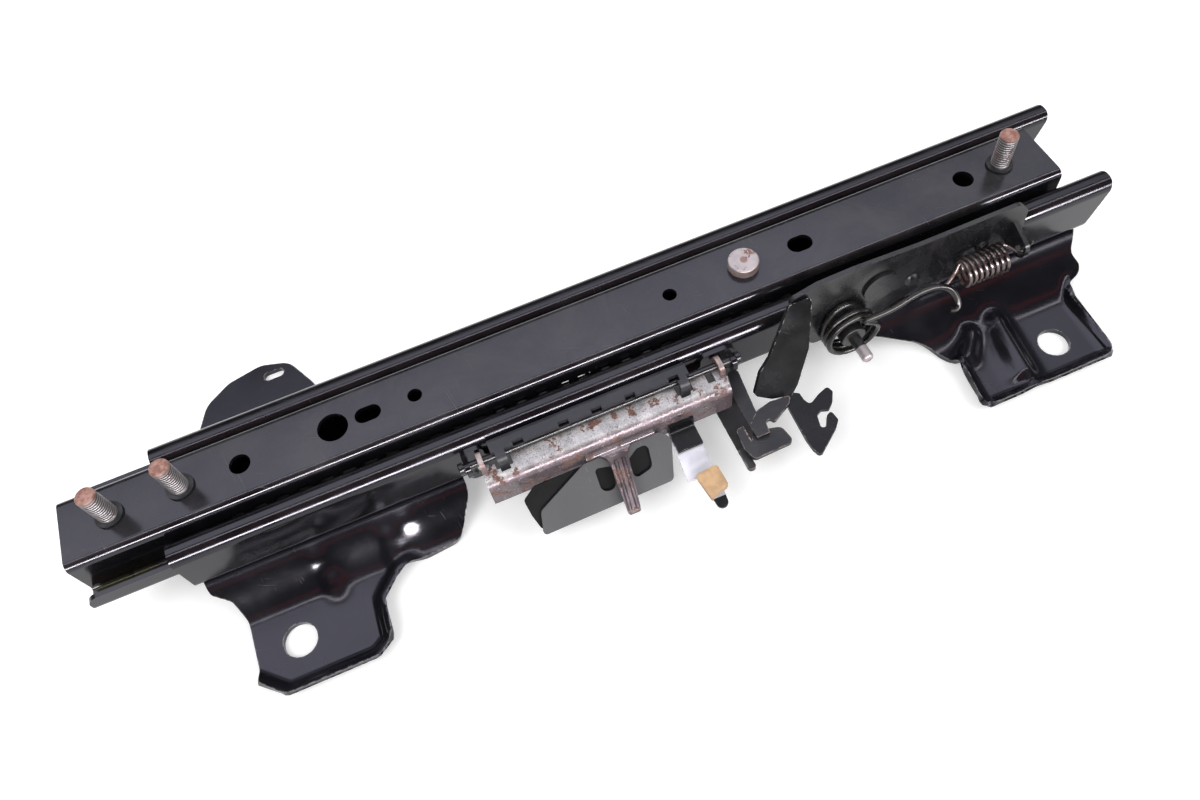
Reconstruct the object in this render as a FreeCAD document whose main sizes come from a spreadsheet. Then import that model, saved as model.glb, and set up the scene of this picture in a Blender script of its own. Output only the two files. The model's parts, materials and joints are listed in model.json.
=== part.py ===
"""Seat slide rail with a side-mounted release lever.

A hat-section seat rail runs on caged balls inside a C-section floor rail, which
stands on two pressed feet.  A lock plate and its release lever hang on the floor
rail's outer wall, beside a bracket that carries two springs and the cable parts.

Rail frame: X along the rail from the left foot's bolt hole, Y from the rail's
centre line to the back, Z up from the floor, all in millimetres.  Every sub-part
is moved by rail_offset in Y, so the row's origin is that bolt hole.
"""
import FreeCAD, Part
import math
import os

import Sketcher
from FreeCAD import Placement, Rotation, Vector

os.makedirs("parts", exist_ok=True)
doc = FreeCAD.newDocument("seat_slide_rail")

SIZES = (
    # alias, value, what it is
    ("rail_offset", 59.6, "bolt hole to the rail's centre line"),
    ("rail_base", 15.0, "underside of the floor rail above the floor"),
    ("rail_sheet", 2.0, "sheet of both rails"),
    ("floor_start", -30.0, "left end of the floor rail"),
    ("floor_length", 413.5, "length of the floor rail"),
    ("floor_width", 56.0, "outer width of the floor rail"),
    ("floor_height", 26.7, "outer height of the floor rail"),
    ("floor_bend", 4.0, "bend of its walls, at mid sheet"),
    ("lip_bend", 3.2, "bend of its lips, at mid sheet"),
    ("lip_gap", 2.0, "seat rail's web to the lip"),
    ("lip_rise", 2.0, "lip's free edge above the channel of the seat rail"),
    ("tail_bevel", 8.0, "slant of the floor rail's right end"),
    ("seat_start", -66.0, "left end of the seat rail"),
    ("seat_length", 431.0, "length of the seat rail"),
    ("seat_top", 45.5, "top of the seat rail above the floor"),
    ("seat_inset", 12.4, "floor rail's wall to the seat rail's web, outer faces"),
    ("seat_bend", 2.5, "bends of the seat rail, at mid sheet"),
    ("wall_gap", 1.4, "seat rail's edge to the floor rail's wall"),
    ("edge_round", 5.0, "rounded ends of the seat rail's edges"),
    ("upper_ball", 6.3, "diameter of the upper balls"),
    ("lower_ball", 6.4, "diameter of the lower balls"),
    ("ball_play", 0.05, "play of a ball on each side"),
    ("cage_sheet", 0.8, "strip of the ball cages"),
    ("cage_drop", 4.0, "middle of a cage below its ends"),
    ("travel_left", 70.0, "travel of the seat rail to the left"),
    ("right_tab_end", 46.6, "right stop tab from the floor rail's right end"),
    ("stop_gap", 0.5, "stop pin to a stop tab at the end of travel"),
    ("stop_wide", 12.0, "width of a stop tab"),
    ("stop_tall", 8.0, "height of a stop tab above the rail's floor"),
    ("stop_pin_at", 222.4, "place of the stop pin"),
    ("stop_pin_thick", 8.0, "diameter of the stop pin's shank"),
    ("stop_head_wide", 13.0, "diameter of the stop pin's head"),
    ("stop_head_tall", 4.0, "height of the stop pin's head"),
    ("stud_thick", 8.0, "diameter of a seat stud"),
    ("stud_tall", 18.0, "height of a seat stud above the rail"),
    ("stud_collar", 11.4, "diameter of a stud's collar"),
    ("collar_tall", 1.2, "height of a stud's collar"),
    ("front_stud_at", -46.3, "place of the left stud"),
    ("middle_stud_at", -18.3, "place of the middle stud"),
    ("rear_stud_end", 21.0, "right stud from the seat rail's right end"),
    ("lock_centre", 139.0, "middle of the lock"),
    ("lock_pitch", 9.14, "spacing of the lock windows"),
    ("window_wide", 5.4, "width of a lock window"),
    ("window_tall", 3.8, "height of a lock window"),
    ("tooth_wide", 4.4, "width of a lock tooth"),
    ("tooth_level", 36.0, "middle of the teeth above the floor"),
    ("tooth_gap", 0.3, "tooth's tip to the seat rail"),
    ("plate_sheet", 2.0, "sheet of the lock plate and the lever"),
    ("wall_clear", 0.6, "lock plate to the floor rail's wall"),
    ("leaf_sheet", 1.0, "spring leaf"),
    ("lock_top", 41.6, "top of the lock plate"),
    ("lock_wide", 84.0, "length of the lock plate"),
    ("lever_start", 91.2, "left end of the release lever"),
    ("lever_long", 104.0, "length of the release lever"),
    ("lever_top", 35.2, "top of the release lever"),
    ("lever_reach", 18.0, "outer face of the lever from the floor rail's wall"),
    ("lever_foot", 20.5, "lower edge of the lever"),
    ("rod_thick", 3.2, "diameter of the pivot rod"),
    ("rod_reach", 6.8, "pivot rod from the floor rail's wall"),
    ("rod_play", 0.05, "lever's bearing on the rod, on each side"),
    ("lock_travel", 1.5, "travel of the lock plate"),
    ("rod_level", 37.3, "pivot rod above the floor"),
    ("bracket_sheet", 2.0, "sheet of the carrier and the brackets"),
    ("bracket_top", 57.0, "top of the spring bracket"),
    ("pin_thick", 5.0, "diameter of the spring pin"),
    ("pin_at", 255.3, "place of the spring pin along the rail"),
    ("pin_level", 22.5, "spring pin above the floor"),
    ("pin_reach", 23.0, "spring pin's end from the floor rail's wall"),
    ("spring_wire", 2.6, "wire of the torsion spring"),
    ("spring_wide", 24.0, "outer diameter of the torsion spring"),
    ("coil_wire", 1.6, "wire of the tension spring"),
    ("coil_wide", 13.0, "outer diameter of the tension spring"),
    ("coil_pitch", 2.5, "pitch of the tension spring"),
    ("foot_sheet", 2.5, "sheet of the feet"),
    ("foot_rim", 8.0, "height of the feet's rims"),
    ("foot_bend", 8.0, "bends of the feet, at mid sheet"),
    ("left_bolt", 14.0, "bolt hole of the left foot"),
    ("right_bolt", 13.4, "bolt hole of the right foot"),
    ("right_bolt_end", 44.5, "right bolt hole from the floor rail's right end"),
    ("right_bolt_out", 67.4, "right bolt hole from the centre line"),
    ("ear_slot_wide", 4.6, "width of the ear's slot"),
    ("ear_slot_long", 9.6, "length of the ear's slot"),
    ("ear_slot_at", 16.9, "ear's slot along the rail"),
    ("ear_slot_out", 69.4, "ear's slot from the centre line"),
    ("rivet_thick", 7.0, "shank of the foot rivets"),
    ("small_rivet", 4.0, "shank of the carrier's and the bracket's rivets"),
)

sheet = doc.addObject("Spreadsheet::Sheet", "Sizes")
for row, (alias, value, note) in enumerate(SIZES, start=1):
    sheet.set(f"A{row}", note)
    sheet.set(f"B{row}", str(value))
    sheet.setAlias(f"B{row}", alias)
doc.recompute()


class Size:
    """Reads a driving dimension from the sheet by its alias."""

    def __getattr__(self, alias):
        return float(sheet.get(alias))


S = Size()

# Faces that several pieces share
WALL = S.floor_width / 2
WALL_INNER = WALL - S.rail_sheet
SEAT_HALF = WALL - S.seat_inset
SEAT_END = S.seat_start + S.seat_length
FLOOR_END = S.floor_start + S.floor_length
ROD_OUT = WALL + S.rod_reach
LEVER_OUT = WALL + S.lever_reach
PIN_REACH = S.stop_pin_thick / 2 + S.stop_gap
RIGHT_TAB = FLOOR_END - S.right_tab_end
TRAVEL_RIGHT = RIGHT_TAB - PIN_REACH - S.stop_pin_at
LIP_FACE = SEAT_HALF + S.lip_gap
FLOOR_TOP = S.rail_base + S.rail_sheet
CREST = S.rail_base + S.floor_height
CREST_INNER = CREST - S.rail_sheet
SEAT_EDGE = WALL_INNER - S.wall_gap
SEAT_BASE = FLOOR_TOP + S.lower_ball + 2 * S.ball_play
SEAT_LIP = CREST_INNER - S.upper_ball - 2 * S.ball_play
SEAT_UNDER = S.seat_top - S.rail_sheet
PLATE_FACE = WALL + S.wall_clear
BRACKET_FACE = WALL + S.bracket_sheet
BALL_LINE = (LIP_FACE + S.rail_sheet + WALL_INNER) / 2

# Outlines in front of the wall are drawn for a wall at 28, the right foot's for an end at 383.5
OUT = Vector(0, 28.0 - WALL, 0)
END_STEP = Vector(FLOOR_END - 383.5, 0, 0)

# Turns: own Z to the front with own Y up, and own Z along the rail
FRONT = Rotation(Vector(1, 0, 0), Vector(0, 0, 1), Vector(0, -1, 0))
ALONG = Rotation(Vector(0, 1, 0), Vector(0, 0, 1), Vector(1, 0, 0))


def rounded(points):
    """Lines and arcs through corners (x, y) or (x, y, radius), as a closed outline."""
    places = [Vector(p[0], p[1], 0) for p in points]
    radii = [p[2] if len(p) > 2 else 0.0 for p in points]
    starts, ends, arcs = [], [], []
    for i, corner in enumerate(places):
        back = places[i - 1] - corner
        on = places[(i + 1) % len(places)] - corner
        room = 0.49 * min(back.Length, on.Length)
        back.normalize()
        on.normalize()
        turn = math.acos(max(-1.0, min(1.0, back.dot(on))))
        reach = min(radii[i] / math.tan(turn / 2), room) if radii[i] else 0.0
        starts.append(corner + back * reach)
        ends.append(corner + on * reach)
        if reach:
            radius = reach * math.tan(turn / 2)
            middle = (back + on).normalize()
            centre = corner + middle * (radius / math.sin(turn / 2))
            arcs.append(Part.Arc(starts[i], centre - middle * radius, ends[i]))
        else:
            arcs.append(None)
    edges = []
    for i in range(len(places)):
        after = (i + 1) % len(places)
        if arcs[i]:
            edges.append(arcs[i])
        if (starts[after] - ends[i]).Length > 1e-6:
            edges.append(Part.LineSegment(ends[i], starts[after]))
    return edges


def face(points):
    """A flat face in XY from rounded corners."""
    return Part.Face(Part.Wire([edge.toShape() for edge in rounded(points)]))


def prism(points, low, high):
    """The outline in plan, from one height to another."""
    solid = face(points).extrude(Vector(0, 0, high - low))
    if solid.Volume < 0:
        solid.reverse()
    solid.translate(Vector(0, 0, low))
    return solid


def section(path, thick):
    """Outline of a bent sheet in YZ: a mid-line of (y, z, bend) points given a thickness."""
    places = [Vector(p[0], p[1], 0) for p in path]
    bends = [p[2] if len(p) > 2 else 0.0 for p in path]
    sides = ([], [])
    last = len(places) - 1
    for i, place in enumerate(places):
        into = (place - places[i - 1]).normalize() if i else None
        out = (places[i + 1] - place).normalize() if i < last else None
        into = into or out
        out = out or into
        left_in = Vector(-into.y, into.x, 0)
        left_out = Vector(-out.y, out.x, 0)
        mitre = (left_in + left_out).normalize()
        reach = thick / 2 / mitre.dot(left_in)
        turning = into.cross(out).z
        for side, sign in zip(sides, (1, -1)):
            spot = place + mitre * (sign * reach)
            bend = bends[i]
            if bend:
                bend += thick / 2 if turning * sign < 0 else -thick / 2
            side.append((spot.x, spot.y, max(bend, 0.0)))
    return sides[0] + sides[1][::-1]


def turned_to(solid, base, turn):
    """The solid carried to a place and a turn."""
    solid.Placement = Placement(base, turn).multiply(solid.Placement)
    return solid


def across(points, start, length):
    """An outline drawn in YZ and run along X."""
    return turned_to(prism(points, 0, length), Vector(start, 0, 0), ALONG)


def upright(points, near, far):
    """An outline drawn in XZ and run forward, between two distances off the centre line."""
    return turned_to(prism(points, near, far), Vector(), FRONT)


def bent_sheet(path, thick, start, length):
    """A bent sheet of one section, drawn in YZ and run along X."""
    return across(section(path, thick), start, length)


def box(low, high):
    """A box between two opposite corners."""
    low, high = Vector(*low), Vector(*high)
    step = high - low
    return Part.makeBox(step.x, step.y, step.z, low)


def rod(centre, direction, thick, length):
    """A round rod from a point."""
    return Part.makeCylinder(thick / 2, length, Vector(*centre), Vector(*direction))


def slot_tool(x, y, long, wide, low, high):
    """An upright tool with round ends, long in X."""
    half = (long - wide) / 2
    middle = box((x - half, y - wide / 2, low), (x + half, y + wide / 2, high))
    ends = [rod((x + side * half, y, low), (0, 0, 1), wide, high - low) for side in (-1, 1)]
    return middle.fuse(ends)


def add_shape(name, shape):
    """A sub-part whose shape is worked out here from the sheet's values."""
    piece = doc.addObject("Part::Feature", name)
    piece.Label = name
    piece.Shape = shape.removeSplitter()
    piece.Placement = Placement(Vector(0, S.rail_offset, 0), Rotation())
    return piece


def add_compound(name, shapes):
    """Several like solids as one sub-part."""
    piece = doc.addObject("Part::Feature", name)
    piece.Label = name
    piece.Shape = Part.makeCompound(shapes)
    piece.Placement = Placement(Vector(0, S.rail_offset, 0), Rotation())


# PartDesign pieces: a plate or a turned piece, bound to the sheet by expressions

def new_body(name, base, turn=Rotation()):
    """A body at a place given as three expressions of the sheet's aliases."""
    body = doc.addObject("PartDesign::Body", name)
    body.Label = name
    body.Placement = Placement(Vector(), turn)
    x, y, z = base
    body.setExpression("Placement.Base.x", x)
    body.setExpression("Placement.Base.y", f"Sizes.rail_offset + {y}")
    body.setExpression("Placement.Base.z", z)
    return body


def new_sketch(body, name, role="XY_Plane", lift=0.0):
    """A sketch on one of the body's own origin planes."""
    sketch = body.newObject("Sketcher::SketchObject", name)
    plane = next(f for f in body.Origin.OriginFeatures if f.Role == role)
    sketch.AttachmentSupport = [(plane, "")]
    sketch.MapMode = "FlatFace"
    sketch.AttachmentOffset = Placement(Vector(0, 0, lift), Rotation())
    return sketch


def draw(sketch, edges):
    """Adds an outline to a sketch and joins its neighbours end to end."""
    for edge in edges:
        sketch.addGeometry(edge, False)
    ends = []
    for i in range(len(edges)):
        ends.append((sketch.getPoint(i, 1), sketch.getPoint(i, 2)))
    for i in range(len(edges)):
        after = (i + 1) % len(edges)
        pairs = [(a, b) for a in (0, 1) for b in (0, 1)]
        gap = {(a, b): (ends[i][a] - ends[after][b]).Length for a, b in pairs}
        a, b = min(gap, key=gap.get)
        sketch.addConstraint(Sketcher.Constraint("Coincident", i, a + 1, after, b + 1))


def pad(body, sketch, length):
    """A pad of the sketch, its length an expression."""
    feature = body.newObject("PartDesign::Pad", f"{sketch.Name}_pad")
    feature.Profile = sketch
    feature.setExpression("Length", length)
    return feature


def hole(body, name, x, y, thick, role="XY_Plane"):
    """A round hole right through, across one of the body's planes; the sizes are expressions."""
    sketch = new_sketch(body, f"{body.Name}_{name}_sketch", role)
    sketch.addGeometry(Part.Circle(Vector(1, 1, 0), Vector(0, 0, 1), 1), False)
    for kind, value in (("DistanceX", x), ("DistanceY", y)):
        index = sketch.addConstraint(Sketcher.Constraint(kind, -1, 1, 0, 3, 1.0))
        sketch.setExpression(f"Constraints[{index}]", value)
    index = sketch.addConstraint(Sketcher.Constraint("Diameter", 0, 2.0))
    sketch.setExpression(f"Constraints[{index}]", thick)
    cut = body.newObject("PartDesign::Pocket", f"{body.Name}_{name}")
    cut.Profile = sketch
    cut.Type = 1
    cut.Midplane = True
    return cut


def plate(name, outline, thick, base, turn=Rotation()):
    """A flat plate: rounded outline in its own XY, padded by an expression."""
    body = new_body(name, base, turn)
    sketch = new_sketch(body, f"{name}_outline")
    draw(sketch, rounded(outline))
    pad(body, sketch, thick)
    return body


def opening(body, name, outline):
    """A window right through a plate drawn in XY."""
    sketch = new_sketch(body, name)
    draw(sketch, rounded(outline))
    cut = body.newObject("PartDesign::Pocket", f"{name}_cut")
    cut.Profile = sketch
    cut.Type = 1
    cut.Midplane = True


def turned(name, profile, base, turn=Rotation()):
    """A turned piece: half profile (radius, height) revolved about its own Z."""
    body = new_body(name, base, turn)
    sketch = new_sketch(body, f"{name}_profile", "XZ_Plane")
    draw(sketch, rounded(profile))
    feature = body.newObject("PartDesign::Revolution", f"{name}_turn")
    feature.Profile = sketch
    feature.ReferenceAxis = (sketch, ["V_Axis"])
    feature.Angle = 360.0
    return body


# Lock windows: three teeth on each side, two places left out in the middle
TOOTH_STEPS = (-3.5, -2.5, -1.5, 1.5, 2.5, 3.5)
TEETH = [S.lock_centre + step * S.lock_pitch for step in TOOTH_STEPS]


def lock_windows(places, near, far):
    """Tools for lock windows from one distance off the centre line to another."""
    low = S.tooth_level - S.window_tall / 2
    half = S.window_wide / 2
    corners = [((x - half, -far, low), (x + half, -near, low + S.window_tall)) for x in places]
    return Part.makeCompound([box(a, b) for a, b in corners])


def floor_rail():
    """C section with lips that hang into the seat rail's channels."""
    half = S.rail_sheet / 2
    wall = WALL - half
    lip = LIP_FACE + half
    low = S.rail_base + half
    top = CREST - half
    edge = SEAT_BASE + S.rail_sheet + S.lip_rise
    right = [(wall, low, S.floor_bend), (wall, top, S.floor_bend), (lip, top, S.lip_bend), (lip, edge)]
    left = [(-p[0],) + p[1:] for p in right[::-1]]
    rail = bent_sheet(left + right, S.rail_sheet, S.floor_start, S.floor_length)
    # right end slants back towards the floor
    bevel = Part.makePolygon([Vector(FLOOR_END, -WALL, S.rail_base), Vector(FLOOR_END, -WALL, CREST),
                              Vector(FLOOR_END - S.tail_bevel, -WALL, S.rail_base),
                              Vector(FLOOR_END, -WALL, S.rail_base)])
    rail = rail.cut(Part.Face(bevel).extrude(Vector(0, 2 * WALL, 0)))
    rail = rail.cut(lock_windows(TEETH, LIP_FACE - 0.5, WALL + 0.5))
    # stop tabs lanced out of the floor
    left_tab = S.stop_pin_at - S.travel_left - PIN_REACH
    for side, face_at in ((-1, left_tab), (1, RIGHT_TAB)):
        back = face_at + side * S.rail_sheet
        tall = S.stop_tall + S.rail_sheet
        opening = sorted((back, back + side * tall))
        tab = sorted((face_at, back))
        wide = S.stop_wide / 2
        rail = rail.cut(box((opening[0], -wide, S.rail_base - 1), (opening[1], wide, FLOOR_TOP + 1)))
        rail = rail.fuse(box((tab[0], -wide, S.rail_base), (tab[1], wide, FLOOR_TOP + S.stop_tall)))
    for x, y in left_rivets() + right_rivets():
        rail = rail.cut(rod((x, y, S.rail_base - 1), (0, 0, 1), S.rivet_thick, 2 * S.rail_sheet))
    for x, level in [(x, RIVET_LEVEL) for x in carrier_rivet_places()] + list(BRACKET_RIVETS):
        rail = rail.cut(rod((x, 1 - WALL_INNER, level), (0, -1, 0), S.small_rivet, S.rail_sheet + 2))
    add_shape("lower_rail", rail)


def left_rivets():
    """Rivets of the left foot along the centre line."""
    return [(-8.0, 0.0), (62.0, 0.0)]


def right_rivets():
    """Rivets of the right foot along the centre line."""
    return [(FLOOR_END - 95.5, 0.0), (FLOOR_END - 23.5, 0.0)]


def seat_rail():
    """Hat section with turned-up edges that the balls run on."""
    half = S.rail_sheet / 2
    web = SEAT_HALF - half
    edge = SEAT_EDGE - half
    low = SEAT_BASE + half
    top = S.seat_top - half
    right = [(web, top, S.seat_bend), (web, low, S.seat_bend), (edge, low, S.seat_bend),
             (edge, SEAT_LIP)]
    left = [(-p[0],) + p[1:] for p in right[::-1]]
    rail = bent_sheet(left + right, S.rail_sheet, S.seat_start, S.seat_length)
    # the turned-up edges end in a round corner
    ends = (S.seat_start, SEAT_END)
    for end, side in zip(ends, (1, -1)):
        low_x, high_x = sorted((end, end + side * S.edge_round))
        nose = box((low_x, -SEAT_EDGE - 1, SEAT_LIP - S.edge_round), (high_x, SEAT_EDGE + 1, SEAT_LIP + 1))
        corner = rod((end + side * S.edge_round, -SEAT_EDGE - 1, SEAT_LIP - S.edge_round), (0, 1, 0),
                     2 * S.edge_round, 2 * SEAT_EDGE + 2)
        keep_out = box((S.seat_start - 1, -SEAT_HALF - 1, SEAT_BASE),
                       (SEAT_END + 1, SEAT_HALF + 1, S.seat_top))
        rail = rail.cut(nose.cut(corner).cut(keep_out))
    # holes of the top plate
    low, high = SEAT_UNDER - 1, S.seat_top + 1
    for x, thick in ((5.4, 8.6), (43.4, 12.5), (77.7, 6.0), (188.9, 6.0), (SEAT_END - 38.6, 8.8)):
        rail = rail.cut(rod((x, 0, low), (0, 0, 1), thick, high - low))
    for x, long, wide in ((58.0, 10.8, 7.0), (248.6, 10.9, 8.0)):
        rail = rail.cut(slot_tool(x, 0, long, wide, low, high))
    for x in (S.front_stud_at, S.middle_stud_at, SEAT_END - S.rear_stud_end):
        rail = rail.cut(rod((x, 0, low), (0, 0, 1), S.stud_thick, high - low))
    rail = rail.cut(rod((S.stop_pin_at, 0, low), (0, 0, 1), S.stop_pin_thick, high - low))
    # lock windows along the front web, as many as the travel needs
    first = math.ceil((TEETH[0] - TRAVEL_RIGHT - TEETH[-1]) / S.lock_pitch)
    last = math.floor((TEETH[-1] + S.travel_left - TEETH[0]) / S.lock_pitch)
    row = [TEETH[0] + step * S.lock_pitch for step in range(first + 7, last + 1)]
    rail = rail.cut(lock_windows(row, SEAT_HALF - S.rail_sheet - 0.5, SEAT_HALF + 0.5))
    add_shape("upper_rail", rail)


def ball_places():
    """Rest places of the balls along the rail: two near each end."""
    return [14.0, 30.0, FLOOR_END - 121.5, FLOOR_END - 105.5]


def ball_cages():
    """A strip and its balls in each side of the rails."""
    face_in = SEAT_EDGE + (S.wall_gap - S.cage_sheet) / 2
    face_out = face_in + S.cage_sheet
    levels = ((S.upper_ball, CREST_INNER - S.ball_play - S.upper_ball / 2, BALL_LINE),
              (S.lower_ball, FLOOR_TOP + S.ball_play + S.lower_ball / 2, BALL_LINE - 0.1))
    places = ball_places()
    start, end = places[0] - 6, places[-1] + 6
    low = FLOOR_TOP + 2.6
    high = CREST_INNER - 2.6
    strip = [(start, low, 2), (end, low, 2), (end, high, 2), (places[2] - 6, high, 2),
             (places[2] - 12, high - S.cage_drop, 2), (places[1] + 12, high - S.cage_drop, 2),
             (places[1] + 6, high, 2), (start, high, 2)]
    for name, side in (("front", -1), ("back", 1)):
        strip_face = face(strip)
        strip_face.rotate(Vector(), Vector(1, 0, 0), 90)
        cage = strip_face.extrude(Vector(0, S.cage_sheet, 0))
        inner = face_in if side > 0 else -face_out
        cage.translate(Vector(0, inner, 0))
        balls = []
        for thick, level, line in levels:
            bite = math.sqrt((thick / 2) ** 2 - (face_in - line) ** 2)
            for x in places:
                cage = cage.cut(rod((x, inner - 1, level), (0, 1, 0), 2 * bite, S.cage_sheet + 2))
                balls.append(Part.makeSphere(thick / 2, Vector(x, side * line, level)))
        add_shape(f"{name}_ball_cage", cage)
        add_compound(f"{name}_balls", balls)


def rim_tray(outline, cut_back, rim_back=None):
    """Pad with a turned-up rim: it ends at cut_back, or its bare rim runs on to rim_back."""
    sheet_thick = S.foot_sheet
    outer = prism(outline, 0, S.foot_rim)
    bottom = [e for e in outer.Edges if e.BoundBox.ZMax < 0.01]
    outer = outer.makeFillet(sheet_thick + 1.0, bottom)
    inner_wire = face(outline).OuterWire.makeOffset2D(-sheet_thick)
    inner = Part.Face(inner_wire).extrude(Vector(0, 0, S.foot_rim + 1))
    inner.translate(Vector(0, 0, sheet_thick))
    low_edges = [e for e in inner.Edges if e.BoundBox.ZMax < sheet_thick + 0.01]
    inner = inner.makeFillet(1.2, low_edges)
    tray = outer.cut(inner)
    pad = tray.cut(box((-200, cut_back, -1), (600, 200, 60)))
    if rim_back is None:
        return pad
    rim = tray.cut(Part.Face(inner_wire).extrude(Vector(0, 0, 60)))
    return pad.fuse(rim.common(box((-200, cut_back, -1), (600, rim_back, 60))))


def foot_wall(path, start, length):
    """The foot's flange under the rail and its sloping walls."""
    return bent_sheet(path, S.foot_sheet, start, length)


def dome(x, y, z, wide, tall):
    """A low round emboss."""
    radius = (wide * wide / 4 + tall * tall) / (2 * tall)
    ball = Part.makeSphere(radius, Vector(x, y, z + tall - radius))
    return ball.common(rod((x, y, z - 0.2), (0, 0, 1), wide, tall + 1))


def left_foot():
    """Left foot with its bolt pad in front and an ear at the back."""
    half = S.foot_sheet / 2
    top = S.rail_base - half
    path = [(-60.0, half), (-WALL - 12.0, half, S.foot_bend), (1.0 - WALL, top, S.foot_bend),
            (WALL - 1.0, top, S.foot_bend), (WALL + 14.0, half, S.foot_bend), (80.0, half)]
    body = foot_wall(path, -29.0, 112.0)
    plan = [(-29.0, -20.0), (-27.0, -31.5, 3), (-20.5, -35.5, 2), (-18.0, -42.0, 4), (-18.0, -44.0),
            (50.0, -44.0), (57.0, -46.5, 6), (74.5, -46.0, 6), (82.7, -32.0, 6), (82.7, 20.0, 4),
            (36.0, 34.0, 6), (32.5, 56.0, 6), (24.0, 72.5, 5), (17.5, 76.8, 4), (-2.0, 73.8, 5),
            (-14.0, 69.0, 6), (-21.0, 56.0, 6), (-24.0, 34.0, 6), (-29.0, 24.0, 4)]
    body = body.common(prism(plan, -1, 40))
    outline = [(-30.0, -36.0), (-30.0, -61.0), (-9.0, -79.9, 6), (31.5, -80.0, 9),
               (36.0, -72.0, 6), (36.5, -56.5, 12),
               (50.5, -47.0, 14), (74.5, -45.7, 6), (74.5, -36.0)]
    tray = rim_tray(outline, -43.9)
    tray = tray.cut(box((-60, -100, -1), (-18.0, 0, 40)))
    tray = tray.cut(box((52.0, -60, S.foot_sheet), (100, 0, 40)))
    body = body.fuse(tray)
    body = body.fuse([dome(19.0, -41.5, S.foot_sheet, 12, 3.0), dome(45.5, -41.0, S.foot_sheet, 13, 3.2)])
    body = body.cut(rod((0, -S.rail_offset, -1), (0, 0, 1), S.left_bolt, 20))
    body = body.cut(slot_tool(S.ear_slot_at, S.ear_slot_out, S.ear_slot_long, S.ear_slot_wide, -1, 10))
    for x, y in left_rivets():
        body = body.cut(rod((x, y, 0), (0, 0, 1), S.rivet_thick, 40))
    add_shape("left_foot", body)


def right_foot():
    """Right foot with a rimmed bolt pad."""
    half = S.foot_sheet / 2
    top = S.rail_base - half
    path = [(-60.0, half), (-WALL - 12.0, half, S.foot_bend), (1.0 - WALL, top, S.foot_bend),
            (WALL - 1.0, top)]
    body = foot_wall(path, 255.0, 120.0)
    plan = [(255.0, -30.0, 4), (272.0, -39.0, 6), (288.0, -46.5, 8), (297.0, -47.0), (357.0, -47.0),
            (359.5, -45.0), (367.5, -43.0, 3), (369.5, -40.0, 3), (367.0, -35.0, 4), (374.0, -26.0, 3),
            (374.0, 27.0, 3), (255.0, 27.0, 3)]
    body = body.common(prism(plan, -1, 40))
    outline = [(288.0, -36.0), (288.0, -45.0, 4), (297.5, -53.0, 8), (297.5, -70.0, 10),
               (293.5, -83.5, 7), (357.5, -83.5, 7), (358.5, -50.0, 3), (362.0, -36.0)]
    tray = rim_tray(outline, -45.0, -36.0)
    body = body.fuse(tray)
    bead = slot_tool(0, 0, 26, 9.0, 0, 3.4)
    bead = bead.makeFillet(3.0, [e for e in bead.Edges if e.BoundBox.ZMin > 3.3])
    bead.rotate(Vector(), Vector(0, 0, 1), 83)
    bead.translate(Vector(319.5, -65.5, S.foot_sheet - 0.2))
    body = body.fuse([bead, dome(304.5, -58.0, S.foot_sheet, 10, 3.0)])
    body.translate(END_STEP)
    bolt_at = FLOOR_END - S.right_bolt_end
    body = body.cut(rod((bolt_at, -S.right_bolt_out, -1), (0, 0, 1), S.right_bolt, 20))
    for x, y in right_rivets():
        body = body.cut(rod((x, y, 0), (0, 0, 1), S.rivet_thick, 40))
    add_shape("right_foot", body)


def foot_rivets(name, places):
    """Round-head rivets through the rail's floor and a foot."""
    head = 1.8 * S.rivet_thick
    low = S.rail_base - S.foot_sheet
    rivets = []
    for x, y in places:
        shank = rod((x, y, low), (0, 0, 1), S.rivet_thick, FLOOR_TOP - low)
        upper = Part.makeCone(head / 2, head / 3, 2.2, Vector(x, y, FLOOR_TOP))
        lower = Part.makeCone(head / 2, head / 3, 2.2, Vector(x, y, low), Vector(0, 0, -1))
        rivets.append(shank.fuse([upper, lower]).removeSplitter())
    add_compound(name, rivets)


def seat_studs():
    """Threaded studs with a collar on the seat rail and a head below it."""
    shank = S.stud_thick / 2
    collar = S.stud_collar / 2
    head = collar + 0.8
    base = -S.rail_sheet
    profile = [(0, base - 2), (head, base - 2, 0.5), (head, base), (shank, base),
               (shank, 0), (collar, 0), (collar, S.collar_tall, 0.5), (shank, S.collar_tall),
               (shank, S.stud_tall - 1), (shank - 1, S.stud_tall), (0, S.stud_tall)]
    places = {"front_stud": "Sizes.front_stud_at", "middle_stud": "Sizes.middle_stud_at",
              "rear_stud": "Sizes.seat_start + Sizes.seat_length - Sizes.rear_stud_end"}
    for name, place in places.items():
        turned(name, profile, (place, "0", "Sizes.seat_top"))


def stop_pin():
    """Headed pin whose shank meets the stop tabs at each end of the travel."""
    shank = S.stop_pin_thick / 2
    head = S.stop_head_wide / 2
    foot = FLOOR_TOP + 3.5 - S.seat_top
    under = shank + 1.5
    profile = [(0, foot), (shank, foot, 0.8), (shank, -S.rail_sheet - 1.5), (under, -S.rail_sheet - 1.5),
               (under, -S.rail_sheet), (shank, -S.rail_sheet), (shank, 0), (head, 0),
               (head, S.stop_head_tall, 0.8), (0, S.stop_head_tall)]
    turned("stop_pin", profile, ("Sizes.stop_pin_at", "0", "Sizes.seat_top"))


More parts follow.
